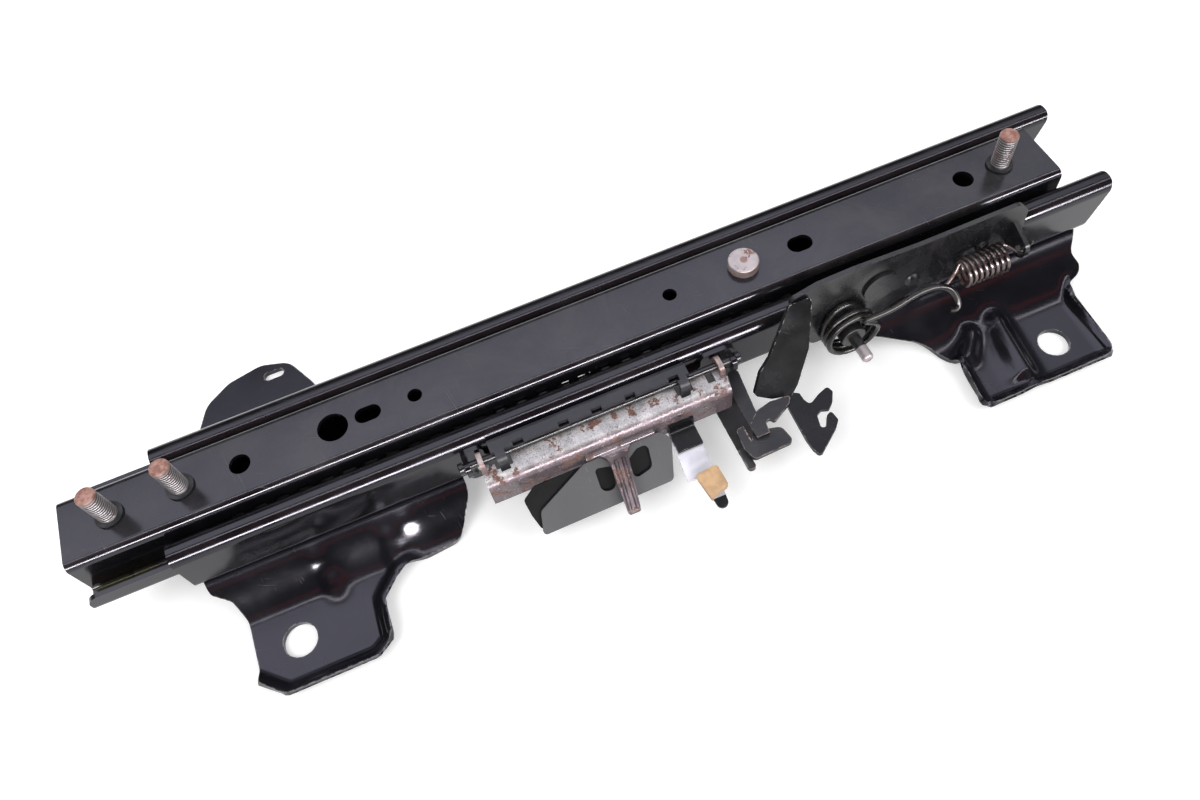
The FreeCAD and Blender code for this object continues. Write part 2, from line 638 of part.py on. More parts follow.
def lock_carrier():
    """Plate on the floor rail's wall; its two ears hold the pivot rod."""
    start = S.lever_start - 5.5
    end = S.lever_start + S.lever_long + 9.5
    low = S.rail_base + 2
    top = S.rod_level + 1.6
    outline = [(start, low, 3), (end, low, 3), (end, top, 6), (end - 16, top, 3), (end - 16, low + 15, 2),
               (start + 9, low + 15, 2), (start + 9, top, 3), (start, top, 3)]
    base = ("0", "-Sizes.floor_width / 2", "0")
    body = plate("lock_carrier", outline, "Sizes.bracket_sheet", base, FRONT)
    reach = ROD_OUT + S.rod_thick / 2 + 2.0 - WALL
    ear = [(S.rod_level - 11, 1), (S.rod_level - 4, reach, 4), (S.rod_level + 3.8, reach, 3), (top - 1, 1)]
    for i, x in enumerate((start, end - 5.5)):
        sketch = new_sketch(body, f"carrier_ear_{i}", "YZ_Plane", x)
        draw(sketch, rounded(ear))
        pad(body, sketch, "Sizes.bracket_sheet")
    hole(body, "rod_hole", "Sizes.rod_level", "Sizes.rod_reach", "Sizes.rod_thick", "YZ_Plane")
    for i, x in enumerate(carrier_rivet_places()):
        hole(body, f"rivet_hole_{i}", f"{x}", f"{RIVET_LEVEL}", "Sizes.small_rivet")


def carrier_rivet_places():
    """Rivets of the lock carrier along the rail."""
    return [S.lever_start + 0.5, S.lever_start + S.lever_long + 1.5]


RIVET_LEVEL = 22.5


def wall_rivets(name, places):
    """Rivets from inside the floor rail's wall to the front of a plate on it."""
    rivets = []
    for x, level in places:
        shank = rod((x, -WALL_INNER, level), (0, -1, 0), S.small_rivet, S.rail_sheet + S.bracket_sheet)
        head = Part.makeCone(0.9 * S.small_rivet, 0.6 * S.small_rivet, 1.4, Vector(x, -BRACKET_FACE, level),
                             Vector(0, -1, 0))
        rivets.append(shank.fuse(head).removeSplitter())
    add_compound(name, rivets)


def pivot_rod():
    """Rod with a head at each end."""
    start = S.lever_start - 5.5 - 2.5
    length = S.lever_long + 9.5 + S.bracket_sheet + 5.0
    shaft = S.rod_thick / 2
    head = shaft + 0.9
    profile = [(0, 0), (head, 0, 0.5), (head, 2.0), (shaft, 2.0), (shaft, length - 2.0),
               (head, length - 2.0), (head, length, 0.5), (0, length)]
    base = (f"{start}", "-Sizes.floor_width / 2 - Sizes.rod_reach", "Sizes.rod_level")
    turned("pivot_rod", profile, base, ALONG)


def lock_plate():
    """Bent plate with six teeth and two arms that reach over the rod."""
    half = S.plate_sheet / 2
    back = PLATE_FACE + half
    top = S.lock_top - half
    path = [(-back, S.tooth_level - 1.1), (-back, top, 1.6), (-WALL - 7.6, top)]
    start = S.lock_centre - S.lock_wide / 2
    body = bent_sheet(path, S.plate_sheet, start, S.lock_wide)
    tip = SEAT_HALF + S.tooth_gap
    for x in TEETH:
        wide = S.tooth_wide / 2
        tooth = box((x - wide, -back, S.tooth_level - 1.1), (x + wide, -tip, S.tooth_level + 1.1))
        tip_edges = [e for e in tooth.Edges if e.BoundBox.YMin > -tip - 0.01 and e.BoundBox.ZLength > 1]
        body = body.fuse(tooth.makeChamfer(1.0, tip_edges))
    for x in (start + 3.4, start + S.lock_wide - 3.4):
        arm_path = [(-WALL - 6.0, top), (-ARM_OUT, top, 3.2), (-ARM_OUT, S.lever_top - 2.4)]
        arm = bent_sheet(arm_path, S.plate_sheet, x - 2.0, 4.0)
        body = body.fuse(arm)
    for x in (108.4, 127.6, 141.5, 155.8, 174.5):
        body = body.cut(box((x - 2.2, -WALL - 9, top - 3), (x + 2.2, -WALL - 6, top + 3)))
    add_shape("lock_plate", body)


ARM_OUT = LEVER_OUT - 6.8
NOTCH_OUT = ARM_OUT + S.plate_sheet / 2 + S.lock_travel + 0.6


def release_lever():
    """Angle-section lever with notches for the arms of the lock plate."""
    half = S.plate_sheet / 2
    top = S.lever_top - half
    wall = LEVER_OUT - half
    path = [(-WALL - 5.0, top), (-wall, top, 3.2), (-wall, S.lever_foot)]
    body = bent_sheet(path, S.plate_sheet, S.lever_start, S.lever_long)
    start = S.lock_centre - S.lock_wide / 2
    low, high = S.lever_top - 5, S.lever_top + 5
    for x in (start + 3.4, start + S.lock_wide - 3.4):
        body = body.cut(rod((x, -NOTCH_OUT + 3.5, low), (0, 0, 1), 7.0, 10))
        body = body.cut(box((x - 3.5, -NOTCH_OUT + 3.5, low), (x + 3.5, -WALL - 2, high)))
    end = S.lever_start + S.lever_long
    notch = -WALL - 11.4
    body = body.cut(rod((end - 6.0, notch, low), (0, 0, 1), 3.2, 10))
    body = body.cut(box((end - 7.6, notch, low), (end - 4.4, -WALL - 2, high)))
    body = body.cut(box((S.lever_start + 4.0, -WALL - 9, low), (S.lever_start + 6.6, -WALL - 2, high)))
    # an ear at each end turns on the rod
    out, level = ROD_OUT, S.rod_level
    ear = [(-out - 5.5, top - 0.5), (-out + 3.6, top - 0.5), (-out + 3.6, level + 3.4, 3.0),
           (-out - 3.6, level + 3.4, 3.0)]
    for x in (S.lever_start, end - S.plate_sheet):
        body = body.fuse(across(ear, x, S.plate_sheet))
    bearing = S.rod_thick + 2 * S.rod_play
    body = body.cut(rod((S.lever_start - 1, -out, level), (1, 0, 0), bearing, S.lever_long + 2))
    add_shape("release_lever", body)
    return body


# The guard's slope: own X along the rail, own Y down and out, own Z behind its face
DOWN_SLOPE = Vector(0, -0.768, -0.640)
BEHIND = Vector(1, 0, 0).cross(DOWN_SLOPE)
GUARD_SHEET = 1.5
GUARD_BASE = "-Sizes.floor_width / 2 - Sizes.lever_reach - 0.6"


def guard_sheet():
    """Sloping sheet with a D window on each side of the finger, and the dark sheet behind it."""
    turn = Rotation(Vector(1, 0, 0), DOWN_SLOPE, BEHIND)
    outline = [(104.3, 21.9, 1.5), (106.7, 12.2, 3), (129.4, 1.0, 2), (162.0, 0.4, 3), (166.3, 4.5, 3),
               (161.2, 21.2, 2.5), (158.0, 21.3, 2)]
    body = plate("guard_sheet", outline, f"{GUARD_SHEET}", ("0", GUARD_BASE, "26.8"), turn)
    windows = ([(132.6, 4.4, 1.5), (139.6, 6.0, 1.5), (138.6, 15.6, 3), (132.2, 14.6, 3)],
               [(147.0, 6.0, 1.5), (151.5, 3.2, 3), (156.2, 3.2, 2.5), (155.0, 13.0, 3), (146.4, 14.8, 2)])
    for i, window in enumerate(windows):
        opening(body, f"guard_window_{i}", window)
    step = BEHIND * GUARD_SHEET
    backing = [(104.6, 19.5, 1.5), (102.9, 13.0, 2), (102.0, 6.0, 2), (108.0, 2.0, 2), (163.0, 2.0, 2),
               (164.5, 5.0, 2), (159.6, 19.5, 2)]
    plate("guard_back", backing, "1.2", ("0", f"{GUARD_BASE} + {step.y}", f"{26.8 + step.z}"), turn)


def finger(lever):
    """Fluted finger below a cross bar on the lever's front face."""
    path = [(-46.0, 28.6), (-49.0, 28.4, 3), (-70.5, 14.6)]
    plan = [(133.5, -46.0), (152.0, -46.0), (149.0, -48.6, 2), (147.0, -51.0, 4), (145.4, -60.0),
            (143.8, -70.2, 1.5), (138.4, -70.2, 1.5), (138.6, -60.0), (139.1, -51.0, 4), (136.5, -48.6, 2)]
    shape = bent_sheet(path, 1.8, 120.0, 50.0).common(prism(plan, 0, 50))
    for x in (141.4, 144.6):
        rib = rod((x, -51.9, 27.4), (-0.085, -0.839, -0.538), 1.8, 20.5)
        shape = shape.fuse(rib)
    shape = shape.fuse(box((130.7, -47.0, 27.2), (160.0, -46.0, 30.2)))
    for x, length in ((130.7, 13.4), (145.5, 14.5)):
        shape = shape.fuse(rod((x, -47.0, 28.7), (1, 0, 0), 2.4, length))
    shape.translate(OUT)
    add_shape("lever_finger", shape.cut(lever))


def release_arm(lever):
    """Folded bar from the lever's right end to a rounded stub."""
    top = S.lever_foot + 2.5
    fold = upright([(189.0, top - 6.0), (190.7, top - 7.2), (197.9, top - 2.0), (208.0, top - 2.0),
                    (208.0, top), (197.1, top)], 31.0, 66.0)
    plan = [(188.0, -43.0), (197.0, -43.0, 6), (200.0, -31.5, 2), (204.5, -31.5, 2), (202.4, -52.5, 12),
            (202.2, -57.0, 2), (197.0, -61.0, 2), (194.5, -66.0), (188.0, -66.0)]
    arm = fold.common(prism(plan, 0, 40))
    stub = [(189.2, -64.0), (189.2, -74.0, 1.5), (192.6, -74.0, 1.5), (192.6, -64.0)]
    arm = arm.fuse(prism(stub, top - 6.6, top - 4.6)).translated(OUT).cut(lever)
    add_shape("release_arm", arm)
    # the strap bends round to the tab that a finger pulls
    outline = [(196.8, -58.5, 2), (202.6, -53.3, 4), (209.2, -51.8, 3), (218.4, -52.6, 1),
               (215.8, -56.0, 1), (206.9, -60.8, 1), (205.6, -58.8, 1), (203.4, -59.6, 2),
               (202.8, -64.5), (197.2, -64.5)]
    strap = prism(outline, top - 1.5, top + 0.5)
    add_shape("handle_strap", strap.translated(OUT).cut(arm))
    tab = prism([(191.6, -56.9, 1.5), (196.0, -56.4, 1), (197.4, -60.2, 0.8), (208.8, -63.0, 3),
                 (210.4, -71.2, 2), (192.5, -71.8, 2), (190.8, -66.0)], top - 3.5, top - 1.5)
    add_shape("handle_tab", tab.translated(OUT).cut(arm))


def spring_leaf():
    """Flat leaf under the lever's lower edge, its clamp, and a pad wrapped over its end."""
    half = S.leaf_sheet / 2
    level = S.lever_foot - half
    path = [(-38.0, level), (-48.0, level, 6), (-84.0, level - 3.6)]
    leaf = bent_sheet(path, S.leaf_sheet, 164.0, 14.0)
    plan = [(167.0, -38.0, 2), (177.0, -38.0, 2), (177.2, -67.0), (176.0, -83.6, 4), (171.5, -83.6, 3),
            (170.0, -69.0), (165.0, -68.0, 1)]
    leaf = leaf.common(prism(plan, 0, 40))
    add_shape("spring_leaf", leaf.translated(OUT))
    clamp_path = [(-46.7, level + 7.0), (-46.7, level + 1.2, 1.6), (-56.0, level + 0.4)]
    clamp = bent_sheet(clamp_path, 1.4, 166.5, 11.0)
    add_shape("leaf_clamp", clamp.cut(leaf).translated(OUT))
    thick = S.leaf_sheet + 1.6
    wrap = bent_sheet([(-48.0, level), (-84.0, level - 3.6)], thick, 168.0, 11.0)
    plan = [(168.8, -67.5, 0.8), (178.4, -66.3, 1.5), (179.2, -75.9, 1.5), (170.6, -79.1, 0.8)]
    wrap = wrap.common(prism(plan, 0, 40))
    inside = prism([(165.0, -38.0), (177.2, -38.0), (177.2, -67.0), (175.8, -90.0), (170.0, -90.0),
                    (170.0, -69.0), (165.0, -68.0)], 0, 40)
    inside = bent_sheet(path, S.leaf_sheet, 150.0, 60.0).common(inside)
    add_shape("leaf_pad", wrap.cut(inside).translated(OUT))


def spring_bracket():
    """Plate on the floor rail's wall that rises above it and carries the springs."""
    top = S.bracket_top
    outline = [(228.0, 49.0, 2), (228.0, top - 3.0, 3), (239.5, top + 0.5, 3), (256, top + 1.0, 6),
               (286, top - 0.6, 6), (331.5, top - 0.2, 5), (336.0, top - 5.5, 4), (336.9, 40.2, 3),
               (333.0, 35.5, 4),
               (300, 30, 8), (262, 14, 8), (239.8, 15.3, 4), (236.5, 47.0, 3)]
    base = ("0", "-Sizes.floor_width / 2", "0")
    body = plate("spring_bracket", outline, "Sizes.bracket_sheet", base, FRONT)
    # round emboss, the triangular lug and the tension spring's anchor
    sketch = new_sketch(body, "bracket_emboss", "XY_Plane", S.bracket_sheet - 0.5)
    sketch.addGeometry(Part.Circle(Vector(270, 39.5, 0), Vector(0, 0, 1), 8), False)
    pad(body, sketch, "1.7")
    sketch = new_sketch(body, "bracket_lug", "XY_Plane", S.bracket_sheet - 0.5)
    draw(sketch, rounded([(296, 43.4, 1), (294.4, 31.0, 1), (303.5, 32.0, 1)]))
    pad(body, sketch, "4.5")
    sketch = new_sketch(body, "bracket_anchor", "YZ_Plane", SPRING_ANCHOR)
    draw(sketch, rounded([(33.5, 1), (33.5, 13.5, 4), (42.0, 13.5, 4), (47.0, 1)]))
    pad(body, sketch, "Sizes.bracket_sheet")
    hole(body, "anchor_hole", "37.4", "10.2", "5.0", "YZ_Plane")
    hole(body, "pin_hole", "Sizes.pin_at", "Sizes.pin_level", "Sizes.pin_thick")
    for i, (x, level) in enumerate(BRACKET_RIVETS):
        hole(body, f"rivet_hole_{i}", f"{x}", f"{level}", "Sizes.small_rivet")


SPRING_ANCHOR = 330.5
BRACKET_RIVETS = ((286.0, 34.0), (318.0, 37.5))


def spring_pin():
    """Pin of the torsion spring, with a flange against the bracket and a domed end."""
    shank = S.pin_thick / 2
    seat = S.bracket_sheet
    length = S.pin_reach
    profile = [(0, 0), (shank, 0), (shank, seat), (shank + 3.0, seat), (shank + 3.0, seat + 9.0, 0.5),
               (shank, seat + 9.0), (shank, length, 1.8), (0, length)]
    turned("spring_pin", profile, ("Sizes.pin_at", "-Sizes.floor_width / 2", "Sizes.pin_level"), FRONT)


def wire_shape(points, thick, fit=None):
    """A round wire along a smooth line through the points, or in straight lengths that fit the line."""
    curve = Part.BSplineCurve()
    curve.interpolate(points)
    start = curve.tangent(curve.FirstParameter)[0]
    spine = Part.Wire(curve.toShape())
    if fit:
        chain = curve.discretize(Deflection=fit)
        start = chain[1] - chain[0]
        spine = Part.makePolygon(chain)
    ring = Part.Wire(Part.Circle(points[0], start, thick / 2).toShape())
    return spine.makePipeShell([ring], True, True, 1 if fit else 0)


def torsion_spring():
    """Close-wound coil round the pin: a C hook at the wall, a long leg with a hook in front."""
    radius = (S.spring_wide - S.spring_wire) / 2
    pitch = S.spring_wire + 0.2
    near = BRACKET_FACE + S.spring_wire / 2 + 0.1
    steps = 8
    count = int(2.75 * steps)
    points = [Vector(S.pin_at + 1.0, -near, S.pin_level + radius + 3.4),
              Vector(S.pin_at - 4.5, -near, S.pin_level + radius + 4.0),
              Vector(S.pin_at - 9.0, -near, S.pin_level + radius - 1.0)]
    for i in range(count + 1):
        angle = math.radians(160) + 2 * math.pi * i / steps
        points.append(Vector(S.pin_at + radius * math.cos(angle), -near - pitch * i / steps,
                             S.pin_level + radius * math.sin(angle)))
    out = -near - pitch * 2.75 - 0.8
    points += [Vector(267.5, out - 0.6, 36.0), Vector(278, out - 0.8, 39.8), Vector(286.0, out - 1.0, 41.0),
               Vector(292.5, out - 2.5, 39.8), Vector(296.2, out - 6.0, 35.5),
               Vector(296.0, out - 9.0, 32.0),
               Vector(292.0, out - 9.0, 32.6)]
    add_shape("torsion_spring", wire_shape(points, S.spring_wire))


def tension_spring():
    """Open coil along the rail between the torsion spring's leg and the bracket's anchor."""
    radius = (S.coil_wide - S.coil_wire) / 2
    out, level = 38.2, 37.8
    start, turns, steps = 303.0, 8, 8
    points = [Vector(291.5, -out, level + 1.5), Vector(294.0, -out - 1.5, level - 1.4),
              Vector(297.5, -out - 0.5, level - 0.5), Vector(300.5, -out + 1.0, level + 2.5)]
    for i in range(turns * steps + 1):
        angle = math.radians(70) + 2 * math.pi * i / steps
        points.append(Vector(start + S.coil_pitch * i / steps, -out + radius * math.cos(angle),
                             level + radius * math.sin(angle)))
    end = start + S.coil_pitch * turns
    points += [Vector(end + 3.0, -out + 1.0, level + 3.0), Vector(end + 6.0, -out, level + 0.5),
               Vector(end + 9.0, -out, level - 1.0), Vector(end + 11.9, -out, level + 1.0),
               Vector(end + 10.9, -out - 0.8, level + 4.2)]
    add_shape("tension_spring", wire_shape(points, S.coil_wire, 0.08).translated(OUT))


def cable_bracket():
    """Slanting arm welded to the spring bracket's left corner."""
    down = Vector(0, -0.5242, -0.8516)
    turn = Rotation(Vector(1, 0, 0), down, Vector(1, 0, 0).cross(down))
    outline = [(226.8, 0.5, 2), (236.6, 0.5, 2), (231.1, 21.7, 6), (223.3, 35.6, 2), (219.7, 39.7, 1),
               (211.0, 37.5, 2), (204.0, 33.0, 2), (208.6, 24.0, 1), (214.0, 19.0, 3)]
    arm = prism(outline, -S.bracket_sheet, 0) if turn.multVec(Vector(0, 0, 1)).z > 0 else prism(
        outline, 0, S.bracket_sheet)
    arm = turned_to(arm, Vector(0, -30.8, 54.0) + OUT, turn)
    arm = arm.cut(box((200, -BRACKET_FACE, 0), (260, 0, 90)))
    add_shape("cable_bracket", arm)
    return arm


def cable_hook(arm):
    """Flat hook at the slanting arm's foot that holds the cable's end."""
    outline = [(217.0, -48.5), (222.9, -52.0), (223.0, -55.2, 2), (224.2, -58.6, 2), (229.5, -55.7, 2),
               (234.5, -54.0, 1.2), (235.4, -57.0, 1), (232.8, -61.4, 1), (230.1, -63.7, 0.8),
               (227.2, -62.6, 1), (224.4, -64.0, 1.5), (223.0, -69.8, 1.5),
               (225.0, -70.4, 1), (227.7, -66.0, 1.5),
               (230.4, -64.6, 1), (231.0, -69.6, 1.5), (228.4, -72.5, 2), (217.0, -81.0, 2.5),
               (215.6, -77.0, 2.5), (215.2, -72.0), (215.7, -56.5, 4)]
    level = S.lever_foot
    hook = prism(outline, level - S.bracket_sheet, level)
    hook = hook.cut(box((210, -49.6, 0), (240, 0, 40))).translated(OUT)
    add_shape("cable_hook", hook.cut(arm))


def build():
    """Makes every sub-part."""
    floor_rail()
    seat_rail()
    ball_cages()
    left_foot()
    right_foot()
    foot_rivets("left_foot_rivets", left_rivets())
    foot_rivets("right_foot_rivets", right_rivets())
    seat_studs()
    stop_pin()
    lock_carrier()
    pivot_rod()
    wall_rivets("carrier_rivets", [(x, RIVET_LEVEL) for x in carrier_rivet_places()])
    lock_plate()
    lever = release_lever()
    release_arm(lever)
    guard_sheet()
    finger(lever)
    spring_leaf()
    spring_bracket()
    wall_rivets("bracket_rivets", BRACKET_RIVETS)
    spring_pin()
    torsion_spring()
    tension_spring()
    cable_hook(cable_bracket())


build()
doc.recompute()

for item in doc.Objects:
    if "Invalid" in item.State or "Error" in item.State:
        raise RuntimeError(f"{item.Name} is {item.State}")
nodes = [o for o in doc.Objects if o.TypeId in ("PartDesign::Body", "Part::Feature")]
for node in nodes:
    if node.Shape.isNull() or not node.Shape.isValid():
        raise RuntimeError(f"{node.Label} has no valid shape")
    node.Shape.exportStep(f"parts/{node.Label}.step")
    print(node.Label, round(node.Shape.Volume, 1), len(node.Shape.Solids))
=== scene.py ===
"""Studio scene of the seat slide rail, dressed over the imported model.

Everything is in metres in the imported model's frame: X along the rail from the left
foot's bolt hole, Y to the back, Z up from the floor. Only the outlines and heights of
the feet and studs are in millimetres, measured from the rail's centre line.
"""

import json
import math

import bmesh
import bpy
import numpy as np
from mathutils import Matrix, Vector, geometry

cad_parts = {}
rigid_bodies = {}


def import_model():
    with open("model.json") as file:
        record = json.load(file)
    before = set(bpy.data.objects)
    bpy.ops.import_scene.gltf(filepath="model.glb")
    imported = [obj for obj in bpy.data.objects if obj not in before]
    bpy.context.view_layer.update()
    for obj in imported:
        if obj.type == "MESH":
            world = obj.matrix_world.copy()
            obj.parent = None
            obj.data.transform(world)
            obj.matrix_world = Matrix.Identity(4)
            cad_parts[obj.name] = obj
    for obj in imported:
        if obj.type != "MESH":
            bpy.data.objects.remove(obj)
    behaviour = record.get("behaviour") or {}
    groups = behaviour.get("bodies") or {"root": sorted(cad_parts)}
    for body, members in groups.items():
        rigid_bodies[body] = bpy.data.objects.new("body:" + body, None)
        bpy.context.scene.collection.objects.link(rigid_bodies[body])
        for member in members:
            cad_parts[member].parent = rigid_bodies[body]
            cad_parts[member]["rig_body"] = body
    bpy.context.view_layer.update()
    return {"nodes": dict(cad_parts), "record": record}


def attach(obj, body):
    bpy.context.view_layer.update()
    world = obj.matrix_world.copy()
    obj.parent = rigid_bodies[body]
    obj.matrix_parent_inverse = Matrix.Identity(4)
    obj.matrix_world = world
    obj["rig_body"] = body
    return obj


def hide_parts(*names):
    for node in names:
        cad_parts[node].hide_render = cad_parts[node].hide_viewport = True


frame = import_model()
MM = 0.001
RAIL_Y = 0.0596          # rail's centre line in the frame
X, Y, Z = 0, 1, 2        # numbers of the axes


# Shader helpers

MIX_NUMBERS = (0, 2, 3)   # a mix node's sockets for the factor and two numbers
MIX_COLORS = (0, 6, 7)    # and for the factor and two colours


class Nodes:
    """Short names for adding and joining nodes in one tree."""

    def __init__(self, tree):
        self.tree = tree

    def feed(self, node, socket, value):
        """Sets an input, by name or number, to a number, a colour or another node's output."""
        target = node.inputs[socket]
        if isinstance(value, bpy.types.NodeSocket):
            self.tree.links.new(value, target)
        elif target.type == "RGBA":
            target.default_value = (*value, 1.0)
        else:
            target.default_value = value

    def add(self, kind, settings=None, **inputs):
        """A new node with the given settings and inputs."""
        node = self.tree.nodes.new(kind)
        for key, value in (settings or {}).items():
            setattr(node, key, value)
        for key, value in inputs.items():
            self.feed(node, key, value)
        return node

    def math(self, operation, a, b):
        """Math operation on a and b."""
        node = self.add("ShaderNodeMath", {"operation": operation})
        self.feed(node, 0, a)
        self.feed(node, 1, b)
        return node.outputs[0]

    def times(self, first, *others):
        """Product of two or more numbers."""
        for value in others:
            first = self.math("MULTIPLY", first, value)
        return first

    def flip(self, value):
        """One minus a value."""
        return self.math("SUBTRACT", 1.0, value)

    def mix(self, factor, a, b):
        """Colour mix of a and b."""
        node = self.add("ShaderNodeMix", {"data_type": "RGBA"})
        for socket, value in zip(MIX_COLORS, (factor, a, b)):
            self.feed(node, socket, value)
        return node.outputs[2]

    def blend(self, factor, a, b):
        """Number mix of a and b."""
        node = self.add("ShaderNodeMix", {"data_type": "FLOAT"})
        for socket, value in zip(MIX_NUMBERS, (factor, a, b)):
            self.feed(node, socket, value)
        return node.outputs[0]

    def ramp(self, value, low, high):
        """Smooth step of a value between two levels."""
        node = self.add("ShaderNodeMapRange", {"interpolation_type": "SMOOTHSTEP"})
        for socket, level in enumerate((value, low, high)):
            self.feed(node, socket, level)
        return node.outputs[0]

    def noise(self, place, scale, detail, rough, distort=0.0, seed=0.0):
        """Noise by place, in features per metre."""
        node = self.add("ShaderNodeTexNoise", {"noise_dimensions": "4D"}, Vector=place, W=seed,
                        Scale=scale, Detail=detail, Roughness=rough, Distortion=distort)
        return node.outputs[0]

    def vector(self, operation, a, b=(0.0, 0.0, 0.0)):
        """Vector operation on a and b; returns the node."""
        node = self.add("ShaderNodeVectorMath", {"operation": operation})
        self.feed(node, 0, a)
        self.feed(node, 1, b)
        return node

    def axis(self, vector, number):
        """One of the three numbers of a vector."""
        return self.add("ShaderNodeSeparateXYZ", Vector=vector).outputs[number]

    def off_axis(self, place, x, y):
        """Distance of a place from an upright axis."""
        offset = self.vector("SUBTRACT", place, (x, y, 0.0)).outputs[0]
        flat = self.vector("MULTIPLY", offset, (1.0, 1.0, 0.0)).outputs[0]
        return self.vector("LENGTH", flat).outputs["Value"]

    def normal(self):
        """The surface's own direction."""
        return self.add("ShaderNodeNewGeometry").outputs["Normal"]


def scaled(color, factor):
    """A colour made darker or lighter."""
    return tuple(c * factor for c in color)


def blank_material(name):
    """A new material, with the helper for its nodes and its shader."""
    material = bpy.data.materials.new(name)
    material.use_nodes = True
    tree = material.node_tree
    return material, Nodes(tree), tree.nodes["Principled BSDF"]


# Effects that the finishes share

RUST_BROWN = (0.10, 0.045, 0.036)
RUST_LIGHT = (0.22, 0.10, 0.068)
RUST_PIT = (0.045, 0.025, 0.024)
SCRATCH_STRETCH = (28.0, 1500.0, 300.0)      # long in X, thin in Y
SCRATCH_TURNS = ((0.35, 1.0), (1.40, 4.0))   # angle in radians and noise seed


def effect_group(name, levels, color=False):
    """A node group that turns a place and some levels into a mask, and a colour if asked."""
    tree = bpy.data.node_groups.new(name, "ShaderNodeTree")
    tree.interface.new_socket("Place", in_out="INPUT", socket_type="NodeSocketVector")
    for level in levels:
        tree.interface.new_socket(level, in_out="INPUT", socket_type="NodeSocketFloat")
    tree.interface.new_socket("Mask", in_out="OUTPUT", socket_type="NodeSocketFloat")
    if color:
        tree.interface.new_socket("Color", in_out="OUTPUT", socket_type="NodeSocketColor")
    start = tree.nodes.new("NodeGroupInput")
    end = tree.nodes.new("NodeGroupOutput")
    return Nodes(tree), start.outputs, end


def edge_wear_glint_group():
    """Mask of convex edges, broken up by noise: wear that also serves as a painted highlight along
    sharp edges.
    """
    n, given, end = effect_group("edge_wear_glint", ["Width", "Amount"])
    bevel = n.add("ShaderNodeBevel", {"samples": 4}, Radius=given["Width"])
    bend = n.vector("DOT_PRODUCT", bevel.outputs[0], n.normal()).outputs["Value"]
    edge = n.ramp(bend, 0.985, 0.80)
    pitted = n.noise(given["Place"], 400.0, 4.0, 0.65)
    gate = n.flip(given["Amount"])
    patchy = n.ramp(pitted, gate, n.math("ADD", gate, 0.12))
    n.feed(end, "Mask", n.times(edge, patchy))
    return n.tree


def rust_group():
    """Clusters of rust: blotches gated by a larger noise, with pits inside them."""
    n, given, end = effect_group("rust_spots", ["Scale", "Amount", "Seed"], color=True)
    place, scale, seed = given["Place"], given["Scale"], given["Seed"]
    wide = n.noise(place, n.times(scale, 0.22), 2.0, 0.5, 0.6, seed)
    fine = n.noise(place, scale, 6.0, 0.72, 0.4, seed)
    field = n.math("ADD", n.times(wide, 0.62), n.times(fine, 0.5))
    gate = n.math("SUBTRACT", 0.80, n.times(given["Amount"], 0.4))
    tone = n.noise(place, n.times(scale, 1.7), 4.0, 0.6, 0.0, 7.0)
    light = n.mix(n.ramp(tone, 0.35, 0.62), RUST_BROWN, RUST_LIGHT)
    n.feed(end, "Mask", n.ramp(field, gate, n.math("ADD", gate, 0.05)))
    n.feed(end, "Color", n.mix(n.ramp(fine, 0.56, 0.70), light, RUST_PIT))
    return n.tree


def dust_group():
    """Dust that lies on upward faces in patches, with scattered specks."""
    n, given, end = effect_group("settled_dust", ["Amount"])
    place, amount = given["Place"], given["Amount"]
    facing = n.ramp(n.axis(n.normal(), Z), -0.2, 0.9)
    cloud = n.ramp(n.noise(place, 30.0, 5.0, 0.65, 0.8, 3.0), 0.38, 0.72)
    specks = n.ramp(n.noise(place, 1500.0, 2.0, 0.5, 0.0, 5.0), 0.66, 0.74)
    film = n.times(cloud, facing, amount)
    dots = n.times(specks, facing, n.times(amount, 0.7))
    n.feed(end, "Mask", n.math("ADD", film, dots))
    return n.tree


def scratch_group():
    """Fine scratches: long thin noise in two directions, kept where a patch allows."""
    n, given, end = effect_group("fine_scratches", ["Amount"])
    place = given["Place"]
    lines = []
    for angle, seed in SCRATCH_TURNS:
        turn = n.add("ShaderNodeVectorRotate", {"rotation_type": "Z_AXIS"}, Vector=place, Angle=angle)
        stretched = n.vector("MULTIPLY", turn.outputs[0], SCRATCH_STRETCH).outputs[0]
        lines.append(n.ramp(n.noise(stretched, 1.0, 2.0, 0.5, 0.0, seed), 0.66, 0.72))
    patch = n.ramp(n.noise(place, 45.0, 3.0, 0.6, 0.0, 9.0), 0.45, 0.65)
    n.feed(end, "Mask", n.times(n.math("MAXIMUM", *lines), patch, given["Amount"]))
    return n.tree


EDGE_WEAR_GLINT = edge_wear_glint_group()
RUST = rust_group()
DUST = dust_group()
SCRATCHES = scratch_group()


# Finishes

DUST_GREY = (0.20, 0.19, 0.18)
# Pale bare metal on edges, partly wear and partly a painted highlight
BARE_EDGE_GLINT = (0.34, 0.33, 0.33)
GRAIN_DARK = (0.13, 0.115, 0.12)
GRAIN_BRIGHT = (0.72, 0.70, 0.72)
CAP_RUST_DARK = (0.21, 0.075, 0.048)
CAP_RUST_LIGHT = (0.38, 0.20, 0.16)
# Painted shade laid into the grooves of the stud threads, darkest nearest the axis
THREAD_SHADE = (0.035, 0.022, 0.020)
THREAD_ROOT = (0.00358, 0.00390)     # radii between which the painted shade in a thread thins out
THREAD_TOP = 0.0626                  # the studs' end faces above this get no painted shade
HEAD_BROWN = (0.19, 0.085, 0.055)
HEAD_REACH = 0.02                    # farther from the pin's axis nothing is its head
OLIVE = (0.050, 0.052, 0.012)
BACK_BLACK = (0.012, 0.011, 0.012)
# Painted shade: black for the dark recess round a stud's base
COLLAR_SHADE = (0.012, 0.012, 0.014)
RELIEF_STRENGTH = 0.35
RELIEF_DEPTH = 0.0004


